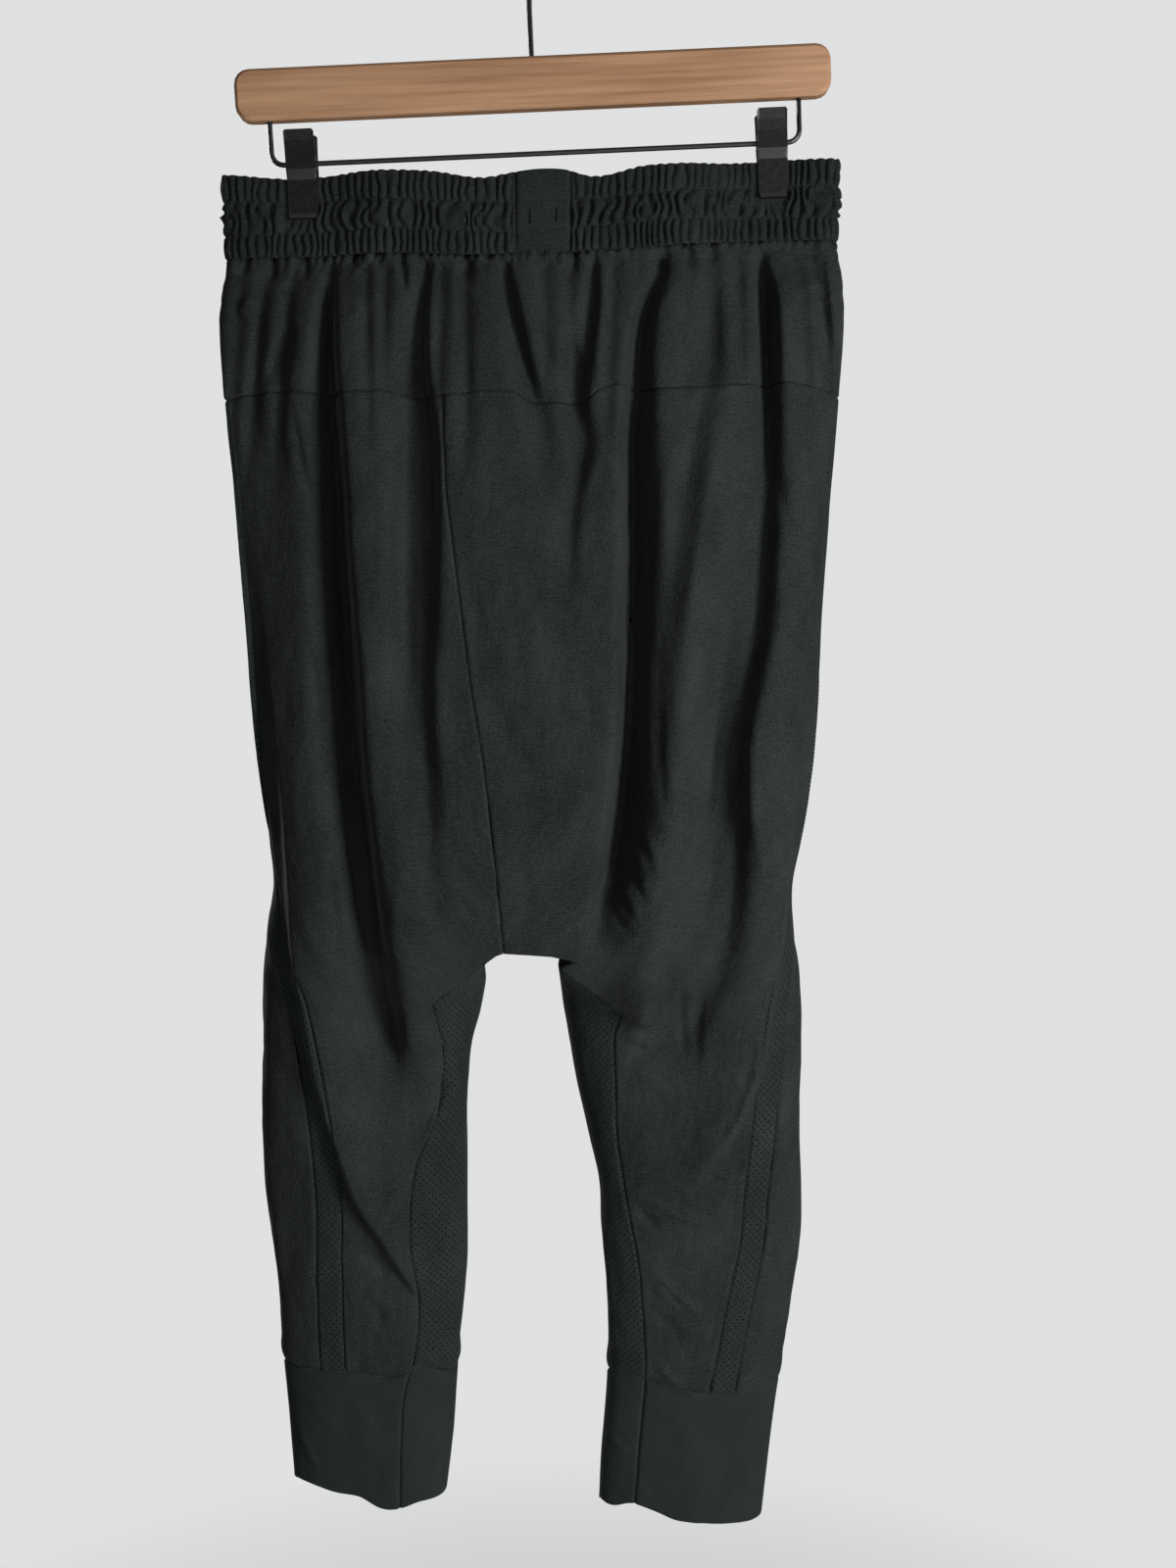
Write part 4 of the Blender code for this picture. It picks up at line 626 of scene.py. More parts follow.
class Oval:
    """A flattened oval at one height, measured along its girth from its outermost point,
    forwards over the front and backwards over the back."""

    def __init__(self, outer, inner, front, back):
        angle = np.radians(np.linspace(-180, 180, OVAL_STEPS + 1))
        across, rise = (
            np.sign(turn) * np.abs(turn) ** (2 / OVAL_POWER)
            for turn in (np.cos(angle), np.sin(angle))
        )
        self.x = (outer + inner) / 2 + (outer - inner) / 2 * across
        self.y = -rise * np.where(rise > 0, front, back)
        step = np.hypot(np.diff(self.x), np.diff(self.y))
        girth = np.concatenate([[0], np.cumsum(step)])
        self.whole = girth[-1]
        self.girth = girth - np.interp(0, angle, girth)
        self.front = angle >= 0
        self.back = angle <= 0

    def girth_at(self, x, face="front"):
        """The girth where the front or the back of the oval is at x."""
        part = self.front if face == "front" else self.back
        order = np.argsort(self.x[part])
        return float(np.interp(x, self.x[part][order], self.girth[part][order]))

    def at(self, girth):
        return tuple(
            np.interp(girth, self.girth, value, period=self.whole) for value in (self.x, self.y)
        )


def hip_oval(side, level):
    left, right, front, back = (curve(HIP_SECTIONS, i, level) for i in (1, 2, 3, 4))
    return Oval(right, left, front, back) if side == "right" else Oval(left, right, front, back)


def leg_oval(side, level):
    return Oval(*(curve(LEG_SECTIONS[side], i, level) for i in (1, 2, 3, 4)))


def folds_rise(folds, x, level):
    total = np.zeros_like(x)
    for rows in folds.values():
        place, left, right, rise = (curve(rows, i, level) for i in (1, 2, 3, 4))
        width = np.where(x < place, left, right)
        total = total + rise * np.exp(-(((x - place) / width) ** 2))
    return total


def puckers_rise(puckers, x, level):
    down = np.clip((BAND_BOTTOM - level) / (BAND_BOTTOM - YOKE_LEVEL), 0, PUCKER_RUN)
    fade = smooth(ramp(level, *PUCKER_FADE))
    total = np.zeros_like(x)
    for band_place, yoke_place, width, depth in puckers:
        place = (band_place + (yoke_place - band_place) * down) * MM
        total = total - depth * MM * fade * np.exp(-(((x - place) / (width * MM)) ** 2))
    return total


def pinched(x, level):
    """1 where a clip presses the front and the back together, 0 away from the clips."""
    near = sum(
        1 - smooth((np.abs(x - BAR_MIDDLE - at) - PINCH_HALF) / PINCH_REACH)
        for at in CLIP_ALONG_ROD.values()
    )
    return near * smooth(ramp(level, PINCH_LOW, PINCH_FULL))


def draped(x, y, level):
    """The depth of a plain oval's points once folded, pouched and pinched."""
    front = folds_rise(FRONT_FOLDS, x, level) + puckers_rise(FRONT_PUCKERS, x, level)
    back = folds_rise(BACK_FOLDS, x, level) + puckers_rise(BACK_PUCKERS, x, level)
    under_band = smooth((BAND_BOTTOM - level) / FOLD_FADE)
    front, back = front * smooth(-y / FOLD_DEPTH[0]), back * smooth(y / FOLD_DEPTH[1])
    folded = y + under_band * (back - front)
    deepest = np.where(y < 0, curve(HIP_SECTIONS, 3, level), curve(HIP_SECTIONS, 4, level))
    gripped = GRIP_HALF * np.clip(y / deepest / GRIP_SHARE, -1, 1)
    pinch = pinched(x, level)
    return folded * (1 - pinch) + gripped * pinch


def lift(side, x, y, level):
    """How far the seams and the hem rise above or dip below their levels."""
    cuff, hem = CUFF_LEVEL[side], HEM_LEVEL[side]
    band_part = ramp(level, YOKE_LEVEL, BAND_BOTTOM)
    yoke_part = np.minimum(ramp(level, YOKE_FADE, YOKE_LEVEL), 1 - band_part)
    hem_part = 1 - ramp(level, hem, cuff)
    cuff_part = np.minimum(1 - ramp(level, cuff, cuff + CUFF_FADE), 1 - hem_part)
    frontness = smooth(0.5 - y / FRONT_BLEND)
    return (
        band_part * (curve(BAND_LINES, 4, x) - BAND_BOTTOM)
        + yoke_part * (curve(YOKE_SEAM, 1, x) - YOKE_LEVEL) * frontness
        + cuff_part * (curve(CUFF_LINES[side], 1, x) - cuff) * frontness
        + hem_part * (curve(CUFF_LINES[side], 2, x) - hem) * frontness
    )


def seam_girths(side, span, level):
    """The girth of a span's two seams on the hip's oval and on the leg's oval.
    front is middle to strip, strip is its front edge to its back edge, back is strip to
    middle, inner is the front seam to the back seam."""
    above = level >= CROTCH_LEVEL
    front_x = float(curve(CENTRE_FRONT if above else INNER_FRONT[side], 1, level))
    back_x = float(curve(CENTRE_BACK if above else INNER_BACK[side], 1, level))
    strip_back = float(curve(STRIP_EDGE[side], 1, level))
    strip_front = strip_back + STRIP_WIDTH
    ends = []
    for oval in (hip_oval(side, level), leg_oval(side, level)):
        front, back = oval.girth_at(front_x), oval.girth_at(back_x, "back")
        ends.append((oval, *{
            "front": (front, strip_front),
            "strip": (strip_front, strip_back),
            "back": (strip_back, back),
            "inner": (front, back + oval.whole),
        }[span]))
    return ends


def plain_row(side, span, part, level):
    """A span's points before it is folded. part runs from 0 at its first seam to 1."""
    hip, leg = seam_girths(side, span, level)
    leg_x, leg_y = leg[0].at(leg[1] + (leg[2] - leg[1]) * part)
    if span == "inner":
        first, last = hip[0].at(hip[1]), hip[0].at(hip[2])
        hip_x, hip_y = (a + (b - a) * part for a, b in zip(first, last))
    else:
        hip_x, hip_y = hip[0].at(hip[1] + (hip[2] - hip[1]) * part)
    below = CROTCH_LEVEL - level
    near, far = WIDTH_BLEND
    seam_x = float(hip[0].at(hip[2] if span == "back" else hip[1])[0])
    away = {"inner": 0.0, "strip": 1.0}.get(span, smooth(np.abs(hip_x - seam_x) / SEAM_REACH))
    x = hip_x + (leg_x - hip_x) * smooth(below / (near + (far - near) * away))
    y = hip_y + (leg_y - hip_y) * float(smooth(below / DEPTH_BLEND))
    return x, y


def value_noise(u, v, seed):
    """Smooth noise between -1 and 1 over a square grid."""
    left, low = np.floor(u), np.floor(v)
    across, up = smooth(u - left), smooth(v - low)

    def corner(a, b):
        first, second, third, size = NOISE_MIX
        value = np.sin(a * first + b * second + seed * third) * size
        return 2 * (value - np.floor(value)) - 1

    lower = corner(left, low) * (1 - across) + corner(left + 1, low) * across
    upper = corner(left, low + 1) * (1 - across) + corner(left + 1, low + 1) * across
    return lower * (1 - up) + upper * up


def stepped(length, step, edges):
    """Distances from 0 to a length, with closer ones inside a sewn edge."""
    near = np.array(EDGE_STEPS) * MM
    start = near if edges[0] else near[:1]
    end = length - near[::-1] if edges[1] else np.array([length])
    count = max(int((end[0] - start[-1]) / step), 2)
    return np.concatenate([start[:-1], np.linspace(start[-1], end[0], count + 1), end[1:]])


def levels_between(high, low, edges=(True, True)):
    return high - stepped(high - low, ROW_STEP, edges)


def unit(vectors):
    return vectors / np.maximum(np.linalg.norm(vectors, axis=-1, keepdims=True), 1e-9)


class Cloth:
    """A grid of points with its outward directions and its own flat coordinates."""

    def __init__(self, points, sign):
        self.points = points
        across = np.gradient(points, axis=1)
        down = np.gradient(points, axis=0)
        self.normal = unit(np.cross(down, across)) * sign
        length = np.linalg.norm(np.diff(points, axis=1), axis=2)
        run = np.concatenate([np.zeros((len(points), 1)), np.cumsum(length, axis=1)], axis=1)
        self.across = run - run[:, -1:] / 2
        self.run = run
        self.left_over = run[:, -1:] - run
        drop = np.linalg.norm(np.diff(points, axis=0), axis=2).mean(axis=1)
        self.down = np.broadcast_to(np.concatenate([[0], np.cumsum(drop)])[:, None], run.shape)

    def push(self, rise):
        self.points = self.points + self.normal * rise[..., None]

    def seam_rolls(self, first=True, last=True, top=True, bottom=True):
        """Turns the sewn edges inwards, as a seam does."""
        total = np.zeros_like(self.run)
        height = self.down[-1, 0]
        for used, distance in (
            (first, self.run), (last, self.left_over), (top, self.down),
            (bottom, height - self.down),
        ):
            if used:
                total = np.maximum(total, 1 - smooth(distance / SEAM_ROLL_WIDTH))
        self.push(-SEAM_ROLL * total)


def placed(name, data, place=(0, 0, 0), turn=(0, 0, 0)):
    obj = bpy.data.objects.new(name, data)
    obj.location = place
    obj.rotation_euler = turn
    bpy.context.scene.collection.objects.link(obj)
    return obj


def mesh_object(name, points, faces, material):
    data = bpy.data.meshes.new(name)
    data.from_pydata(points.tolist(), [], faces)
    data.shade_smooth()
    data.materials.append(material)
    return placed(name, data)


def tubes(name, centre, across, up, sides, material):
    """Closed tubes in one mesh. The arrays have a row for each tube, and in it each ring's
    centre and the two half axes that its points turn between."""
    angle = 2 * np.pi * np.arange(sides)[:, None] / sides
    centre, across, up = (part[:, :, None] for part in (centre, across, up))
    points = centre + across * np.cos(angle) + up * np.sin(angle)
    ring = np.arange(sides)
    tube = points.shape[1] * sides
    faces = []
    for first in range(0, len(points) * tube, tube):
        last = first + tube - sides
        for start in range(first, last, sides):
            a, b = start + ring, start + np.roll(ring, -1)
            faces += np.stack([a, b, b + sides, a + sides], axis=1).tolist()
        faces += [(first + ring[::-1]).tolist(), (last + ring).tolist()]
    return mesh_object(name, points.reshape(-1, 3), faces, material)


def piece_object(name, cloth, material):
    """A sewn piece drawn from its grid, with thickness, that follows the solid frame."""
    rows, columns = cloth.points.shape[:2]
    index = np.arange(rows * columns).reshape(rows, columns)
    quads = np.stack([index[:-1, :-1], index[1:, :-1], index[1:, 1:], index[:-1, 1:]], axis=-1)
    quads = quads.reshape(-1, 4)
    row, column = rows // 2, columns // 2
    here = cloth.points[row, column]
    turn = np.cross(cloth.points[row + 1, column] - here, cloth.points[row, column + 1] - here)
    if turn @ cloth.normal[row, column] < 0:
        quads = quads[:, ::-1]
    obj = mesh_object(name, cloth.points.reshape(-1, 3), quads.tolist(), material)
    uv = np.stack([cloth.across, -cloth.down], axis=2).reshape(-1, 2)
    layer = obj.data.uv_layers.new(name="UVMap")
    layer.data.foreach_set("uv", uv[quads.reshape(-1)].astype(np.float32).reshape(-1))
    wall = obj.modifiers.new("cloth thickness", "SOLIDIFY")
    wall.thickness = CLOTH
    wall.offset = -1
    return obj


def sewn_piece(sheets, looks, name, cloth, slot):
    obj = piece_object(f"{name}_cloth", cloth, looks[slot])
    sheets[name] = (cloth, obj, slot, name)


def ready(obj, node_name):
    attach(obj, "root")
    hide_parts(node_name)


def spread_parts(side, span, levels, step, edges, first=0.0, last=1.0):
    """Parts of a span, spaced by its widest girth."""
    widest = max(
        abs(end - start)
        for level in levels[::SAMPLED_ROWS]
        for _, start, end in seam_girths(side, span, level)[1:]
    )
    length = widest * (last - first)
    return first + stepped(length, step, edges) / length * (last - first)


def span_grid(side, span, levels, part):
    """The folded points of a span of one side at the given levels."""
    x, y = (np.array(rows) for rows in zip(*(plain_row(side, span, part, z) for z in levels)))
    level = np.broadcast_to(np.array(levels)[:, None], x.shape)
    y = draped(x, y, level)
    return np.stack([x, y, level + lift(side, x, y, level)], axis=2)


def facing(side, span):
    return (1 if side == "right" else -1) * (-1 if span == "inner" else 1)


def creased(cloth):
    """Adds the creases: a rise along each line, fading towards its ends."""
    x, z = cloth.points[..., 0] / MM, cloth.points[..., 2] / MM
    total = np.zeros_like(x)
    for left, right, rise, *line in CREASES:
        line = np.array(line, float).reshape(-1, 2)
        low, high = line.min(axis=0) - CREASE_REACH, line.max(axis=0) + CREASE_REACH
        near = (x > low[0]) & (x < high[0]) & (z > low[1]) & (z < high[1])
        if not near.any():
            continue
        here = np.stack([x[near], z[near]], axis=1)
        steps = np.diff(line, axis=0)
        lengths = np.linalg.norm(steps, axis=1)
        closest = np.full(len(here), np.inf)
        off, along = np.zeros(len(here)), np.zeros(len(here))
        starts = np.cumsum(lengths) - lengths
        for corner, step, length, start in zip(line, steps, lengths, starts):
            way = step / length
            part = np.clip((here - corner) @ way, 0, length)
            away = here - corner - part[:, None] * way
            distance = np.linalg.norm(away, axis=1)
            side = np.sign(way[0] * away[:, 1] - way[1] * away[:, 0])
            nearer = distance < closest
            closest = np.where(nearer, distance, closest)
            off = np.where(nearer, distance * side, off)
            along = np.where(nearer, start + part, along)
        whole = lengths.sum()
        end = CREASE_FADE * whole
        fade = smooth(along / end) * smooth((whole - along) / end)
        width = np.where(off < 0, left, right)
        total[near] += rise * MM * fade * np.exp(-((off / width) ** 2))
    cloth.push(CREASE_STRENGTH * total * smooth(-CREASE_FACING * cloth.normal[..., 1]))


def softened(cloth, seed, strength):
    """The slight unevenness of hanging cloth."""
    x, z = cloth.across / MM, cloth.points[..., 2] / MM
    cloth.push(strength * MM * sum(
        height * value_noise(x / width, z / length, seed + k)
        for k, (height, width, length) in enumerate(SOFT_WAVES)
    ))


def material_nodes(name, roughness, specular, **sockets):
    """A new material, with its node tree and its shader."""
    material = bpy.data.materials.new(name)
    material.use_nodes = True
    shader = material.node_tree.nodes["Principled BSDF"]
    shader.inputs["Roughness"].default_value = roughness
    shader.inputs["Specular IOR Level"].default_value = specular
    for socket, value in sockets.items():
        shader.inputs[socket.replace("_", " ")].default_value = value
    return material, material.node_tree, shader


def node(tree, kind, inputs=(), **settings):
    made = tree.nodes.new(kind)
    for name, value in settings.items():
        setattr(made, name, value)
    for name, value in dict(inputs).items():
        if isinstance(value, bpy.types.NodeSocket):
            tree.links.new(value, made.inputs[name])
        else:
            made.inputs[name].default_value = value
    return made


def math_node(tree, operation, a, b=0.0, clamp=False):
    made = node(tree, "ShaderNodeMath", {0: a, 1: b}, operation=operation, use_clamp=clamp)
    return made.outputs[0]


def scaled(tree, value, factor, offset=0.0, clamp=False):
    """A value times a factor, plus an offset."""
    return node(
        tree, "ShaderNodeMath", {0: value, 1: factor, 2: offset},
        operation="MULTIPLY_ADD", use_clamp=clamp,
    ).outputs[0]


def mixed(tree, factor, a, b):
    """A colour between two colours, by a factor."""
    made = tree.nodes.new("ShaderNodeMix")
    made.data_type = "RGBA"
    for name, value in (("Factor_Float", factor), ("A_Color", a), ("B_Color", b)):
        socket = next(s for s in made.inputs if s.identifier == name)
        if isinstance(value, bpy.types.NodeSocket):
            tree.links.new(value, socket)
        else:
            socket.default_value = value
    return next(s for s in made.outputs if s.identifier == "Result_Color")


def stretched_noise(tree, coordinate, scale, detail, roughness):
    """Noise over coordinates stretched by a scale in each direction."""
    mapping = node(tree, "ShaderNodeMapping", {"Vector": coordinate, "Scale": scale})
    noise = node(
        tree, "ShaderNodeTexNoise",
        {"Vector": mapping.outputs[0], "Scale": 1.0, "Detail": detail, "Roughness": roughness},
    )
    return noise.outputs[0]


def bumped(tree, height, strength, distance, under=None, invert=False):
    """A normal bumped by a height, over another bump where there is one."""
    inputs = {"Height": height, "Strength": strength, "Distance": distance}
    if under is not None:
        inputs["Normal"] = under
    return node(tree, "ShaderNodeBump", inputs, invert=invert).outputs[0]


def screen_colour(red, green, blue):
    """A colour from its values on a screen, 0 to 255."""
    return tuple(
        ((v / 255 + 0.055) / 1.055) ** 2.4 if v > 10 else v / 255 / 12.92
        for v in (red, green, blue)
    ) + (1.0,)


def cloth_material(name, dark, light, grain=FINE_GRAIN, crumple=1.0, holes=False):
    """Matt cloth with a fine grain and small crumples, and with holes where it has them, painted
    with the shade seen through them.
    """
    material, tree, shader = material_nodes(
        name, roughness=0.85, specular=0.12, Sheen_Weight=0.06, Sheen_Roughness=0.4,
        Sheen_Tint=(0.78, 0.8, 0.8, 1),
    )
    uv = node(tree, "ShaderNodeTexCoord").outputs["UV"]
    fine = stretched_noise(tree, uv, *grain)
    streaks = stretched_noise(tree, uv, *STREAKS)
    broad = stretched_noise(tree, uv, *BROAD_SHADES)
    shade = scaled(tree, streaks, STREAK_SHARE)
    shade = math_node(tree, "ADD", scaled(tree, fine, FINE_SHARE), shade)
    shade = math_node(tree, "ADD", shade, scaled(tree, broad, BROAD_SHARE))
    colour = mixed(tree, scaled(tree, shade, *CLOTH_TONE, clamp=True), dark, light)
    strength, depth = CRUMPLE_BUMP
    normal = bumped(tree, stretched_noise(tree, uv, *CRUMPLES), strength, depth * crumple)
    normal = bumped(tree, fine, *GRAIN_BUMP, normal)
    if holes:
        open_part = perforations(tree, uv)
        # The holes are real; their near-black colour is painted shade from the garment's inside
        # seen through them.
        colour = mixed(tree, open_part, colour, HOLE_SHADE_COLOUR)
        normal = bumped(tree, open_part, *HOLE_BUMP, normal, invert=True)
    tree.links.new(colour, shader.inputs["Base Color"])
    tree.links.new(normal, shader.inputs["Normal"])
    return material


def perforations(tree, uv):
    """1 in the small holes, which lie in rows with every other row moved by half."""
    parts = node(tree, "ShaderNodeSeparateXYZ", {0: uv})
    across = math_node(tree, "DIVIDE", parts.outputs[0], HOLE_PITCH[0])
    down = math_node(tree, "DIVIDE", parts.outputs[1], HOLE_PITCH[1])
    row = math_node(tree, "FLOOR", down)
    shift = math_node(tree, "MULTIPLY", math_node(tree, "FLOORED_MODULO", row, 2.0), 0.5)
    squares = []
    for place, pitch in zip((math_node(tree, "ADD", across, shift), down), HOLE_PITCH):
        off = math_node(tree, "SUBTRACT", math_node(tree, "FRACT", place), 0.5)
        off = math_node(tree, "MULTIPLY", off, pitch)
        squares.append(math_node(tree, "MULTIPLY", off, off))
    away = math_node(tree, "SQRT", math_node(tree, "ADD", *squares))
    inside = math_node(tree, "SUBTRACT", HOLE_RADIUS, away)
    return math_node(tree, "MULTIPLY", inside, 1 / HOLE_SOFTNESS, clamp=True)


def wood_material():
    material, tree, shader = material_nodes(
        "hanger wood", roughness=0.42, specular=0.4, Coat_Weight=0.25, Coat_Roughness=0.35,
    )
    place = node(tree, "ShaderNodeTexCoord").outputs["Object"]
    along = node(tree, "ShaderNodeMapping", {"Vector": place, "Rotation": (0, HANGER_TILT, 0)})
    warp, grain, pores = (
        stretched_noise(tree, along.outputs[0], *noise)
        for noise in (WOOD_WARP, WOOD_GRAIN, WOOD_PORES)
    )
    grained = scaled(tree, grain, WOOD_GRAIN_SHARE)
    tone = math_node(tree, "ADD", scaled(tree, warp, WARP_SHARE), grained)
    level = scaled(tree, tone, *WOOD_TONE, clamp=True)
    colour = mixed(tree, level, screen_colour(*WOOD_DARK), screen_colour(*WOOD_LIGHT))
    dark = scaled(tree, pores, *PORE_TONE, clamp=True)
    colour = mixed(tree, dark, colour, screen_colour(*WOOD_PORE))
    tree.links.new(colour, shader.inputs["Base Color"])
    tree.links.new(bumped(tree, grain, *WOOD_BUMP), shader.inputs["Normal"])
    return material


def metal_material():
    material, tree, shader = material_nodes(
        "black metal", roughness=0.36, specular=0.5, Metallic=0.35,
    )
    place = node(tree, "ShaderNodeTexCoord").outputs["Object"]
    wear = stretched_noise(tree, place, *METAL_WEAR)
    colour = mixed(tree, wear, METAL_DARK, METAL_LIGHT)
    tree.links.new(colour, shader.inputs["Base Color"])
    tree.links.new(scaled(tree, wear, *METAL_ROUGHNESS), shader.inputs["Roughness"])
    return material


def thread_material():
    material, tree, shader = material_nodes("thread", roughness=0.8, specular=0.1)
    place = node(tree, "ShaderNodeTexCoord").outputs["Object"]
    tone = stretched_noise(tree, place, *THREAD_TWIST)
    colour = mixed(tree, tone, screen_colour(*THREAD_DARK), screen_colour(*THREAD_LIGHT))
    tree.links.new(colour, shader.inputs["Base Color"])
    return material


# Sewing

def stitches(name, lines, material):
    """Short tapered stitches along lines. A line is its points and their outward
    directions, with the stitches' length, pitch and width."""
    parts = []
    for points, normal, length, pitch, width in lines:
        step = np.linalg.norm(np.diff(points, axis=0), axis=1)
        run = np.concatenate([[0], np.cumsum(step)])
        starts = np.arange(pitch / 2, run[-1] - length, pitch)
        place = starts[:, None] + length * np.array(STITCH_RINGS)
        centre, up = (
            np.stack([np.interp(place, run, values[:, k]) for k in range(3)], axis=2)
            for values in (points, normal)
        )
        up = unit(up)
        side = unit(np.cross(up, unit(centre[:, -1:] - centre[:, :1])))
        size = width / 2 * np.array(STITCH_SHAPE)[:, None]
        parts.append((centre + up * size * STITCH_LOW, side * size, up * size * STITCH_HIGH))
    centre, across, up = (np.concatenate(part) for part in zip(*parts))
    obj = tubes(name, centre, across, up, STITCH_SIDES, material)
    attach(obj, "root")
    return obj


# Garment

def garment(looks):
    sheets = {}
    for side in CUFF_LEVEL:
        cuff, hem = CUFF_LEVEL[side], HEM_LEVEL[side]
        above = levels_between(YOKE_LEVEL, CROTCH_LEVEL, (True, False))
        below = levels_between(CROTCH_LEVEL, cuff)
        body = np.concatenate([above[:-1], below])
        for seed, (span, slot) in enumerate(SPAN_SLOT.items()):
            levels = below if span == "inner" else body
            part = spread_parts(side, span, levels, COLUMN_STEP[span], (True, True))
            cloth = Cloth(span_grid(side, span, levels, part), facing(side, span))
            if span == "front":
                cloth.across = -cloth.left_over
            elif span == "back":
                cloth.across = cloth.run
            softened(cloth, 11 * seed + (5 if side == "left" else 0), SPAN_SOFTNESS[span])
            if span != "back":
                creased(cloth)
            cuff_ripples(cloth, side)
            cloth.seam_rolls()
            sewn_piece(sheets, looks, f"{SPAN_NODE[span]}_{side}", cloth, slot)
        around = [(side, span, -1 if span == "inner" else 1) for span in SPAN_SLOT]
        levels = levels_between(cuff, hem, (True, False))
        cloth = joined_cloth(around, levels, CUFF_STEP)
        softened(cloth, 60, CUFF_SOFTNESS)
        creased(cloth)
        cloth.seam_rolls(bottom=False)
        sewn_piece(sheets, looks, f"cuff_{side}", cloth, "cuff_cloth")
    levels = levels_between(BAND_BOTTOM, YOKE_LEVEL)
    for name, spans, step in (
        ("yoke_front", YOKE_FRONT, YOKE_STEP[0]), ("yoke_back", YOKE_BACK, YOKE_STEP[1]),
    ):
        cloth = joined_cloth(spans, levels, step)
        softened(cloth, 80, YOKE_SOFTNESS)
        yoke_gathers(cloth)
        if name == "yoke_front":
            creased(cloth)
        cloth.seam_rolls()
        cloth.points[0] += (0, 0, YOKE_TUCK) - YOKE_TUCK_DEPTH * cloth.normal[0]
        sewn_piece(sheets, looks, name, cloth, "body_cloth")
    return sheets


def joined_cloth(spans, levels, step):
    """One cloth over several spans. A span is a side, its name, its direction and, where
    only some of it is used, its first and last part."""
    grids = []
    for i, (side, span, way, *ends) in enumerate(spans):
        first, last = ends or (0.0, 1.0)
        outer = (i == 0, i == len(spans) - 1)
        edges = outer if way == 1 else outer[::-1]
        part = spread_parts(side, span, levels, step, edges, first, last)
        grid = span_grid(side, span, levels, part)[:, ::way]
        grids.append(grid[:, 1:] if grids else grid)
    side, span, way, *ends = spans[0]
    return Cloth(np.concatenate(grids, axis=1), facing(side, span) * way)


def cuff_ripples(cloth, side):
    """Small bulges of the leg where the tighter cuff draws it in."""
    up = (cloth.down[-1, 0] - cloth.down) / CUFF_RIPPLE_HEIGHT
    seed = len(side)
    small_width = CUFF_SMALL_RIPPLE * CUFF_RIPPLE_WIDTH
    rise = value_noise(cloth.run / CUFF_RIPPLE_WIDTH, up * CUFF_RIPPLE_RUN, 40 + seed)
    small = value_noise(cloth.run / small_width, up, 50 + seed)
    bulge = smooth(up * CUFF_BULGE_START) * (1 - smooth(up - CUFF_BULGE_END))
    cloth.push(bulge * (CUFF_BULGE + CUFF_RIPPLE * (rise + CUFF_SMALL_RIPPLE * small)))


def yoke_gathers(cloth):
    """The waistband's gathers run on for a short way into the yoke."""
    u, level = cloth.run / YOKE_GATHER_PITCH, np.zeros_like(cloth.run)
    u = u + YOKE_GATHER_DRIFT * value_noise(u / YOKE_DRIFT_RUN, level, 3)
    shorter = YOKE_GATHER_SHORTER * value_noise(u / YOKE_LENGTH_RUN, level, 5)
    share = np.maximum(1 - YOKE_GATHER_SHORTER + shorter, YOKE_GATHER_SHORTEST)
    length = YOKE_GATHER_LENGTH * share
    wave = YOKE_GATHER_SWING * np.abs(np.sin(np.pi * u)) ** YOKE_GATHER_POWER
    cloth.push(YOKE_GATHER_RISE * np.exp(-cloth.down / length) * (wave - YOKE_GATHER_SUNK))


# Waistband

def band_height(x, line):
    """The height of a waistband line: 0 top edge, 1 and 2 stitch lines, 3 bottom edge."""
    low = np.clip(np.floor(line), 0, 2).astype(int)
    lines = np.stack([curve(BAND_LINES, k, x) for k in (1, 2, 3, 4)])
    flat = low.ravel() * low.size + np.arange(low.size)
    upper = lines.reshape(4, -1).ravel()[flat].reshape(x.shape)
    lower = lines.reshape(4, -1).ravel()[flat + low.size].reshape(x.shape)
    return upper + (lower - upper) * (line - low)


def pressed(x):
    """1 under a clip's jaws, 0 beside them."""
    return sum(
        1 - smooth((np.abs(x - BAR_MIDDLE - at) - CLIP_WIDTH / 2) / PRESSED_REACH)
        for at in CLIP_ALONG_ROD.values()
    )


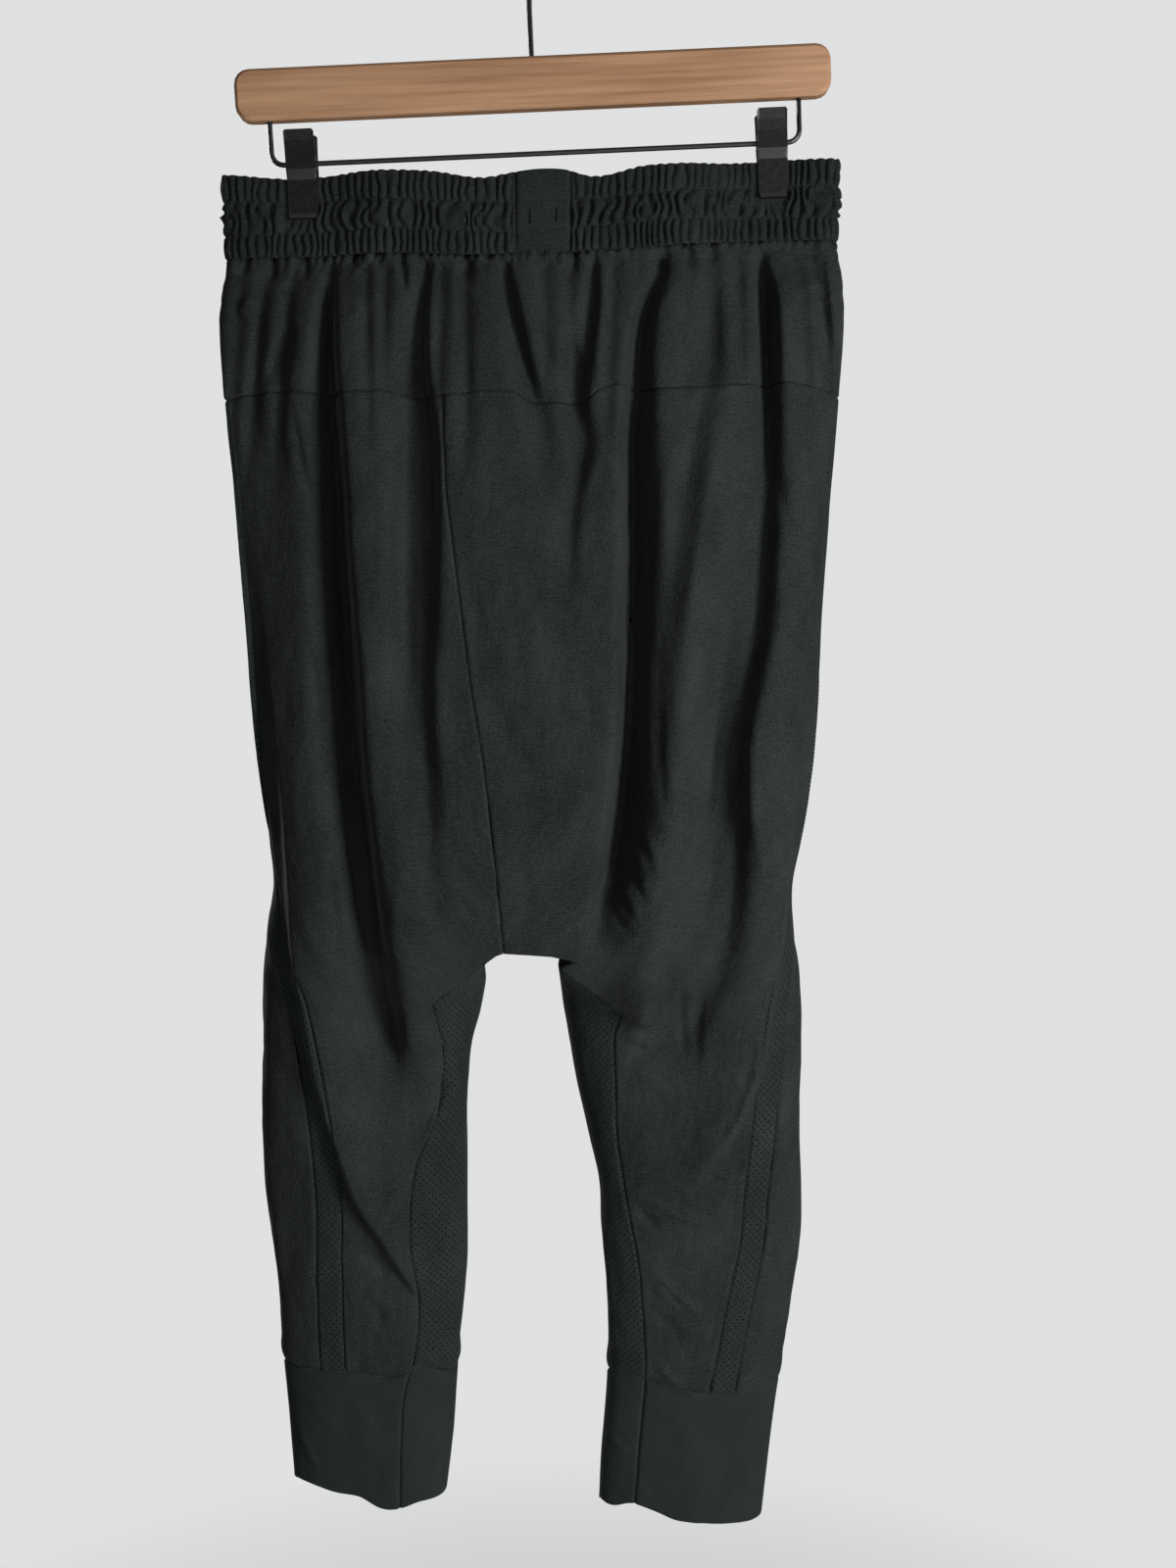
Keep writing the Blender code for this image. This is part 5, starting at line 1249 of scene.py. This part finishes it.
def band_cloth():
    steps = BAND_GATHERS * GATHER_STEPS
    u = np.arange(steps + 1) / steps
    v = np.unique(np.concatenate([k + np.array(CHANNEL_PLACES) for k in range(3)] + [[3.0]]))
    top, bottom = BAND_LINES[len(BAND_LINES) // 2][1::3]
    rows = []
    for line in v:
        level = (top + (bottom - top) * line / 3) * MM
        oval = hip_oval("right", level)
        start = oval.girth_at(CENTRE_PANEL[1] - BAND_LAP)
        end = oval.girth_at(CENTRE_PANEL[0] + BAND_LAP) - oval.whole
        x, y = oval.at(start + (end - start) * u)
        rows.append((x, draped(x, y, level)))
    x, y = (np.array(part) for part in zip(*rows))
    u, v = np.meshgrid(u, v)
    level = band_height(x, v)
    cloth = Cloth(np.stack([x, y, level], axis=2), 1)
    channel = np.clip(np.floor(v), 0, 2).astype(int)
    t = v - channel
    gathers = u * BAND_GATHERS
    rise = np.zeros_like(u)
    for k, (pace, height, puff, slant, wander) in enumerate(CHANNELS):
        row = np.full_like(u, k)
        phase = gathers * pace
        phase = phase + GATHER_DRIFT * value_noise(phase / DRIFT_RUN, row, 7 + k)
        slanted = slant * value_noise(phase / SLANT_RUN, t * SLANT_TURNS, 17 + k)
        wandered = wander * (t - 0.5) * value_noise(phase / WANDER_RUN, row, 27 + k)
        phase = phase + (slanted + wandered) * np.sin(np.pi * t)
        size = GATHER_SIZE + GATHER_SIZE_SWING * value_noise(phase / SIZE_RUN, t, 37 + k)
        ridge = np.abs(np.sin(np.pi * phase)) ** GATHER_POWER
        body = np.sin(np.pi * t) ** CHANNEL_POWER
        puffed = body * (puff + height * size * (ridge - GATHER_MIDDLE))
        drawn_in = STITCH_PUCKER * (ridge - STITCH_PUCKER_MIDDLE) * (1 - body)
        rise = np.where(channel == k, puffed + drawn_in, rise)
    pinch = pressed(x) * (1 - smooth((v - PRESSED_TO) / PRESSED_FADE))
    edge = np.minimum(u, 1 - u) * BAND_GATHERS
    rise = rise * (1 - pinch) + PRESSED_RISE * pinch * np.sin(np.pi * t)
    lapped = 1 - smooth(edge / BAND_LAP_GATHERS)
    rise = rise * (1 - lapped) - BAND_LAP_DEPTH * lapped
    scallop = TOP_SCALLOP * np.abs(np.sin(np.pi * gathers)) * (v == 0) * (1 - pinch)
    cloth.push(rise)
    cloth.points[..., 2] += scallop
    return cloth, v[:, 0]


def centre_depth(x):
    oval = hip_oval("right", CENTRE_PANEL_LEVEL)
    y = np.array([oval.at(oval.girth_at(value))[1] for value in x])
    return draped(x, y, np.full_like(x, CENTRE_PANEL_LEVEL))


def centre_cloth():
    width = CENTRE_PANEL[1] - CENTRE_PANEL[0]
    x = CENTRE_PANEL[0] + stepped(width, CENTRE_STEP, (True, True))
    v = np.unique(np.concatenate([k + np.linspace(0, 1, CENTRE_ROWS) for k in range(3)]))
    y = centre_depth(x) - CENTRE_PANEL_RISE
    x, v = np.meshgrid(x, v)
    z = band_height(x, v)
    cloth = Cloth(np.stack([x, np.broadcast_to(y, x.shape), z], axis=2), 1)
    cloth.normal = np.broadcast_to(np.array([0.0, -1.0, 0.0]), cloth.points.shape)
    t = v - np.floor(v)
    sunk = np.exp(-(np.minimum(t, 1 - t) / PANEL_SUNK_WIDTH) ** 2) * (v > 0.5) * (v < 2.9)
    uneven = PANEL_UNEVEN * value_noise(x / PANEL_WAVE, v * PANEL_WAVES, 4)
    cloth.push(MM * (uneven - PANEL_SUNK * sunk))
    cloth.seam_rolls(top=False)
    return cloth, v[:, 0]


def beside(cloth, distance, last=False):
    """A line down the cloth at a distance from its first or its last edge."""
    run = cloth.left_over if last else cloth.run
    found = []
    for row, place in enumerate(run):
        order = np.argsort(place)
        both = np.hstack([cloth.points[row, order], cloth.normal[row, order]])
        found.append([np.interp(distance, place[order], values) for values in both.T])
    points, normal = np.hsplit(np.array(found), 2)
    return points, unit(normal)


def under(cloth, distance, bottom=False):
    """A line across the cloth at a distance from its top or its bottom edge."""
    down = cloth.down[:, 0]
    place = down[-1] - distance if bottom else distance
    row = int(np.argmin(np.abs(down - place)))
    return cloth.points[row], cloth.normal[row]


# Hanger

def coil(side, material):
    """A coil spring round the rod, in the place of the solid's plain sleeve."""
    name = f"clip_{side}_spring"
    along = np.array([math.cos(HANGER_TILT), 0, math.sin(HANGER_TILT)])
    other = np.array([-along[2], 0, along[0]])
    length = CLIP_WIDTH - 2 * (EAR_PLATE + SEAM_GAP) - 2 * SPRING_WIRE - SPRING_ROOM
    part = np.linspace(0, 1, SPRING_TURNS * SPRING_STEPS + 1)[:, None]
    turn = 2 * np.pi * SPRING_TURNS * part
    out = np.cos(turn) * other + np.sin(turn) * np.array([0, 1, 0])
    centre = np.mean(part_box(name), axis=0) + along * length * (part - 0.5)
    centre = centre + out * (SPRING_RADIUS - SPRING_WIRE)
    axes = (SPRING_WIRE * np.broadcast_to(axis, out.shape)[None] for axis in (out, along))
    obj = tubes(f"{name}_coil", centre[None], *axes, SPRING_SIDES, material)
    ready(obj, name)


def dress_hanger(wood, metal):
    for obj in list(bpy.context.scene.objects):
        if obj.type != "MESH" or not obj.name.startswith(("hanger_", "clip_")):
            continue
        obj.data.materials.clear()
        obj.data.materials.append(wood if obj.name.startswith("hanger_bar") else metal)
        if obj.name.startswith("clip_"):
            bevel = obj.modifiers.new("soft edges", "BEVEL")
            bevel.width = CLIP_EDGE
            bevel.segments = 2
            bevel.limit_method = "ANGLE"
            bevel.angle_limit = CLIP_EDGE_ANGLE


# Studio

def studio():
    scene = bpy.context.scene
    scene.view_settings.view_transform = "Standard"
    world = bpy.data.worlds.new("pale studio")
    world.use_nodes = True
    background = world.node_tree.nodes["Background"]
    background.inputs["Color"].default_value = (*WORLD_COLOUR, 1)
    seen = node(world.node_tree, "ShaderNodeLightPath").outputs["Is Camera Ray"]
    swing = WORLD_STRENGTH - AMBIENT_STRENGTH
    strength = scaled(world.node_tree, seen, swing, AMBIENT_STRENGTH)
    world.node_tree.links.new(strength, background.inputs["Strength"])
    scene.world = world
    for name, place, target, size, power in LIGHTS:
        light = bpy.data.lights.new(name, "AREA")
        light.shape = "RECTANGLE"
        light.size, light.size_y = size
        light.energy = power
        light.color = LIGHT_COLOUR
        way = Vector(target) - Vector(place)
        placed(name, light, place, way.to_track_quat("-Z", "Y").to_euler())
    material, tree, shader = material_nodes("floor", roughness=0.9, specular=0.2)
    place = node(tree, "ShaderNodeTexCoord").outputs["Object"]
    away = node(tree, "ShaderNodeVectorMath", {0: place}, operation="LENGTH").outputs["Value"]
    fade = scaled(tree, away, -FLOOR_FADE / FLOOR_RADIUS, FLOOR_FADE, clamp=True)
    cloudy = stretched_noise(tree, place, *FLOOR_CLOUDS)
    colour = mixed(tree, cloudy, FLOOR_DARK, FLOOR_LIGHT)
    tree.links.new(colour, shader.inputs["Base Color"])
    tree.links.new(fade, shader.inputs["Alpha"])
    angle = np.radians(np.arange(0, 360, FLOOR_STEP))
    rim = FLOOR_RADIUS * np.stack([np.cos(angle), np.sin(angle), 0 * angle], axis=1)
    floor = mesh_object("floor", rim, [tuple(range(len(rim)))], material)
    floor.location = (0, 0, FLOOR_LEVEL)
    camera = bpy.data.cameras.new("camera")
    camera.sensor_width = CAMERA_SENSOR
    camera.lens = CAMERA_LENS
    turn = (math.radians(90) - CAMERA_DOWN, 0, 0)
    scene.camera = placed("camera", camera, CAMERA_PLACE, turn)


def main():
    looks = {
        "body_cloth": cloth_material("body cloth", CLOTH_DARK, CLOTH_LIGHT),
        "perforated_cloth": cloth_material(
            "perforated cloth", HOLED_DARK, HOLED_LIGHT, holes=True,
        ),
        "cuff_cloth": cloth_material(
            "cuff cloth", CUFF_DARK, CUFF_LIGHT, grain=CUFF_GRAIN, crumple=0.5,
        ),
        "waistband_cloth": cloth_material("waistband cloth", BAND_DARK, BAND_LIGHT, crumple=0.4),
    }
    thread = thread_material()
    sheets = garment(looks)
    band, band_rows = band_cloth()
    centre, centre_rows = centre_cloth()
    for name, cloth in (("waistband", band), ("waist_front_panel", centre)):
        sewn_piece(sheets, looks, name, cloth, "waistband_cloth")
    for cloth, obj, slot, name in sheets.values():
        ready(obj, name)
    sewing = {name: [] for name in sheets}
    for side in CUFF_LEVEL:
        front = sheets[f"front_{side}"][0]
        lines = [beside(front, away, last=True) for away in STRIP_SEAM_STITCHES]
        lines.append(under(front, CUFF_SEAM_STITCHES, bottom=True))
        sewing[f"front_{side}"] = [(*line, *TOPSTITCH) for line in lines]
    panel = sewing["waist_front_panel"]
    for row in (1, 2):
        at = int(np.argmin(np.abs(band_rows - row)))
        sewing["waistband"].append((band.points[at], band.normal[at], *BAND_STITCH))
        at = int(np.argmin(np.abs(centre_rows - row)))
        panel.append((centre.points[at], centre.normal[at], *TOPSTITCH))
    for bottom in (False, True):
        panel.append((*under(centre, PANEL_STITCHES, bottom), *TOPSTITCH))
    rows = (centre_rows >= BUTTONHOLE_LOW) & (centre_rows <= BUTTONHOLE_HIGH)
    for x in BUTTONHOLES:
        column = int(np.argmin(np.abs(centre.points[0, :, 0] - x)))
        points, normal = centre.points[rows, column], centre.normal[rows, column]
        panel.append((points, normal, *BUTTONHOLE_STITCH))
    for name, lines in sewing.items():
        cloth, obj = sheets[name][:2]
        if lines:
            stitched = stitches(f"{name}_sewing", lines, thread)
    wood, metal = wood_material(), metal_material()
    dress_hanger(wood, metal)
    for side in CLIP_ALONG_ROD:
        coil(side, metal)
    studio()


main()
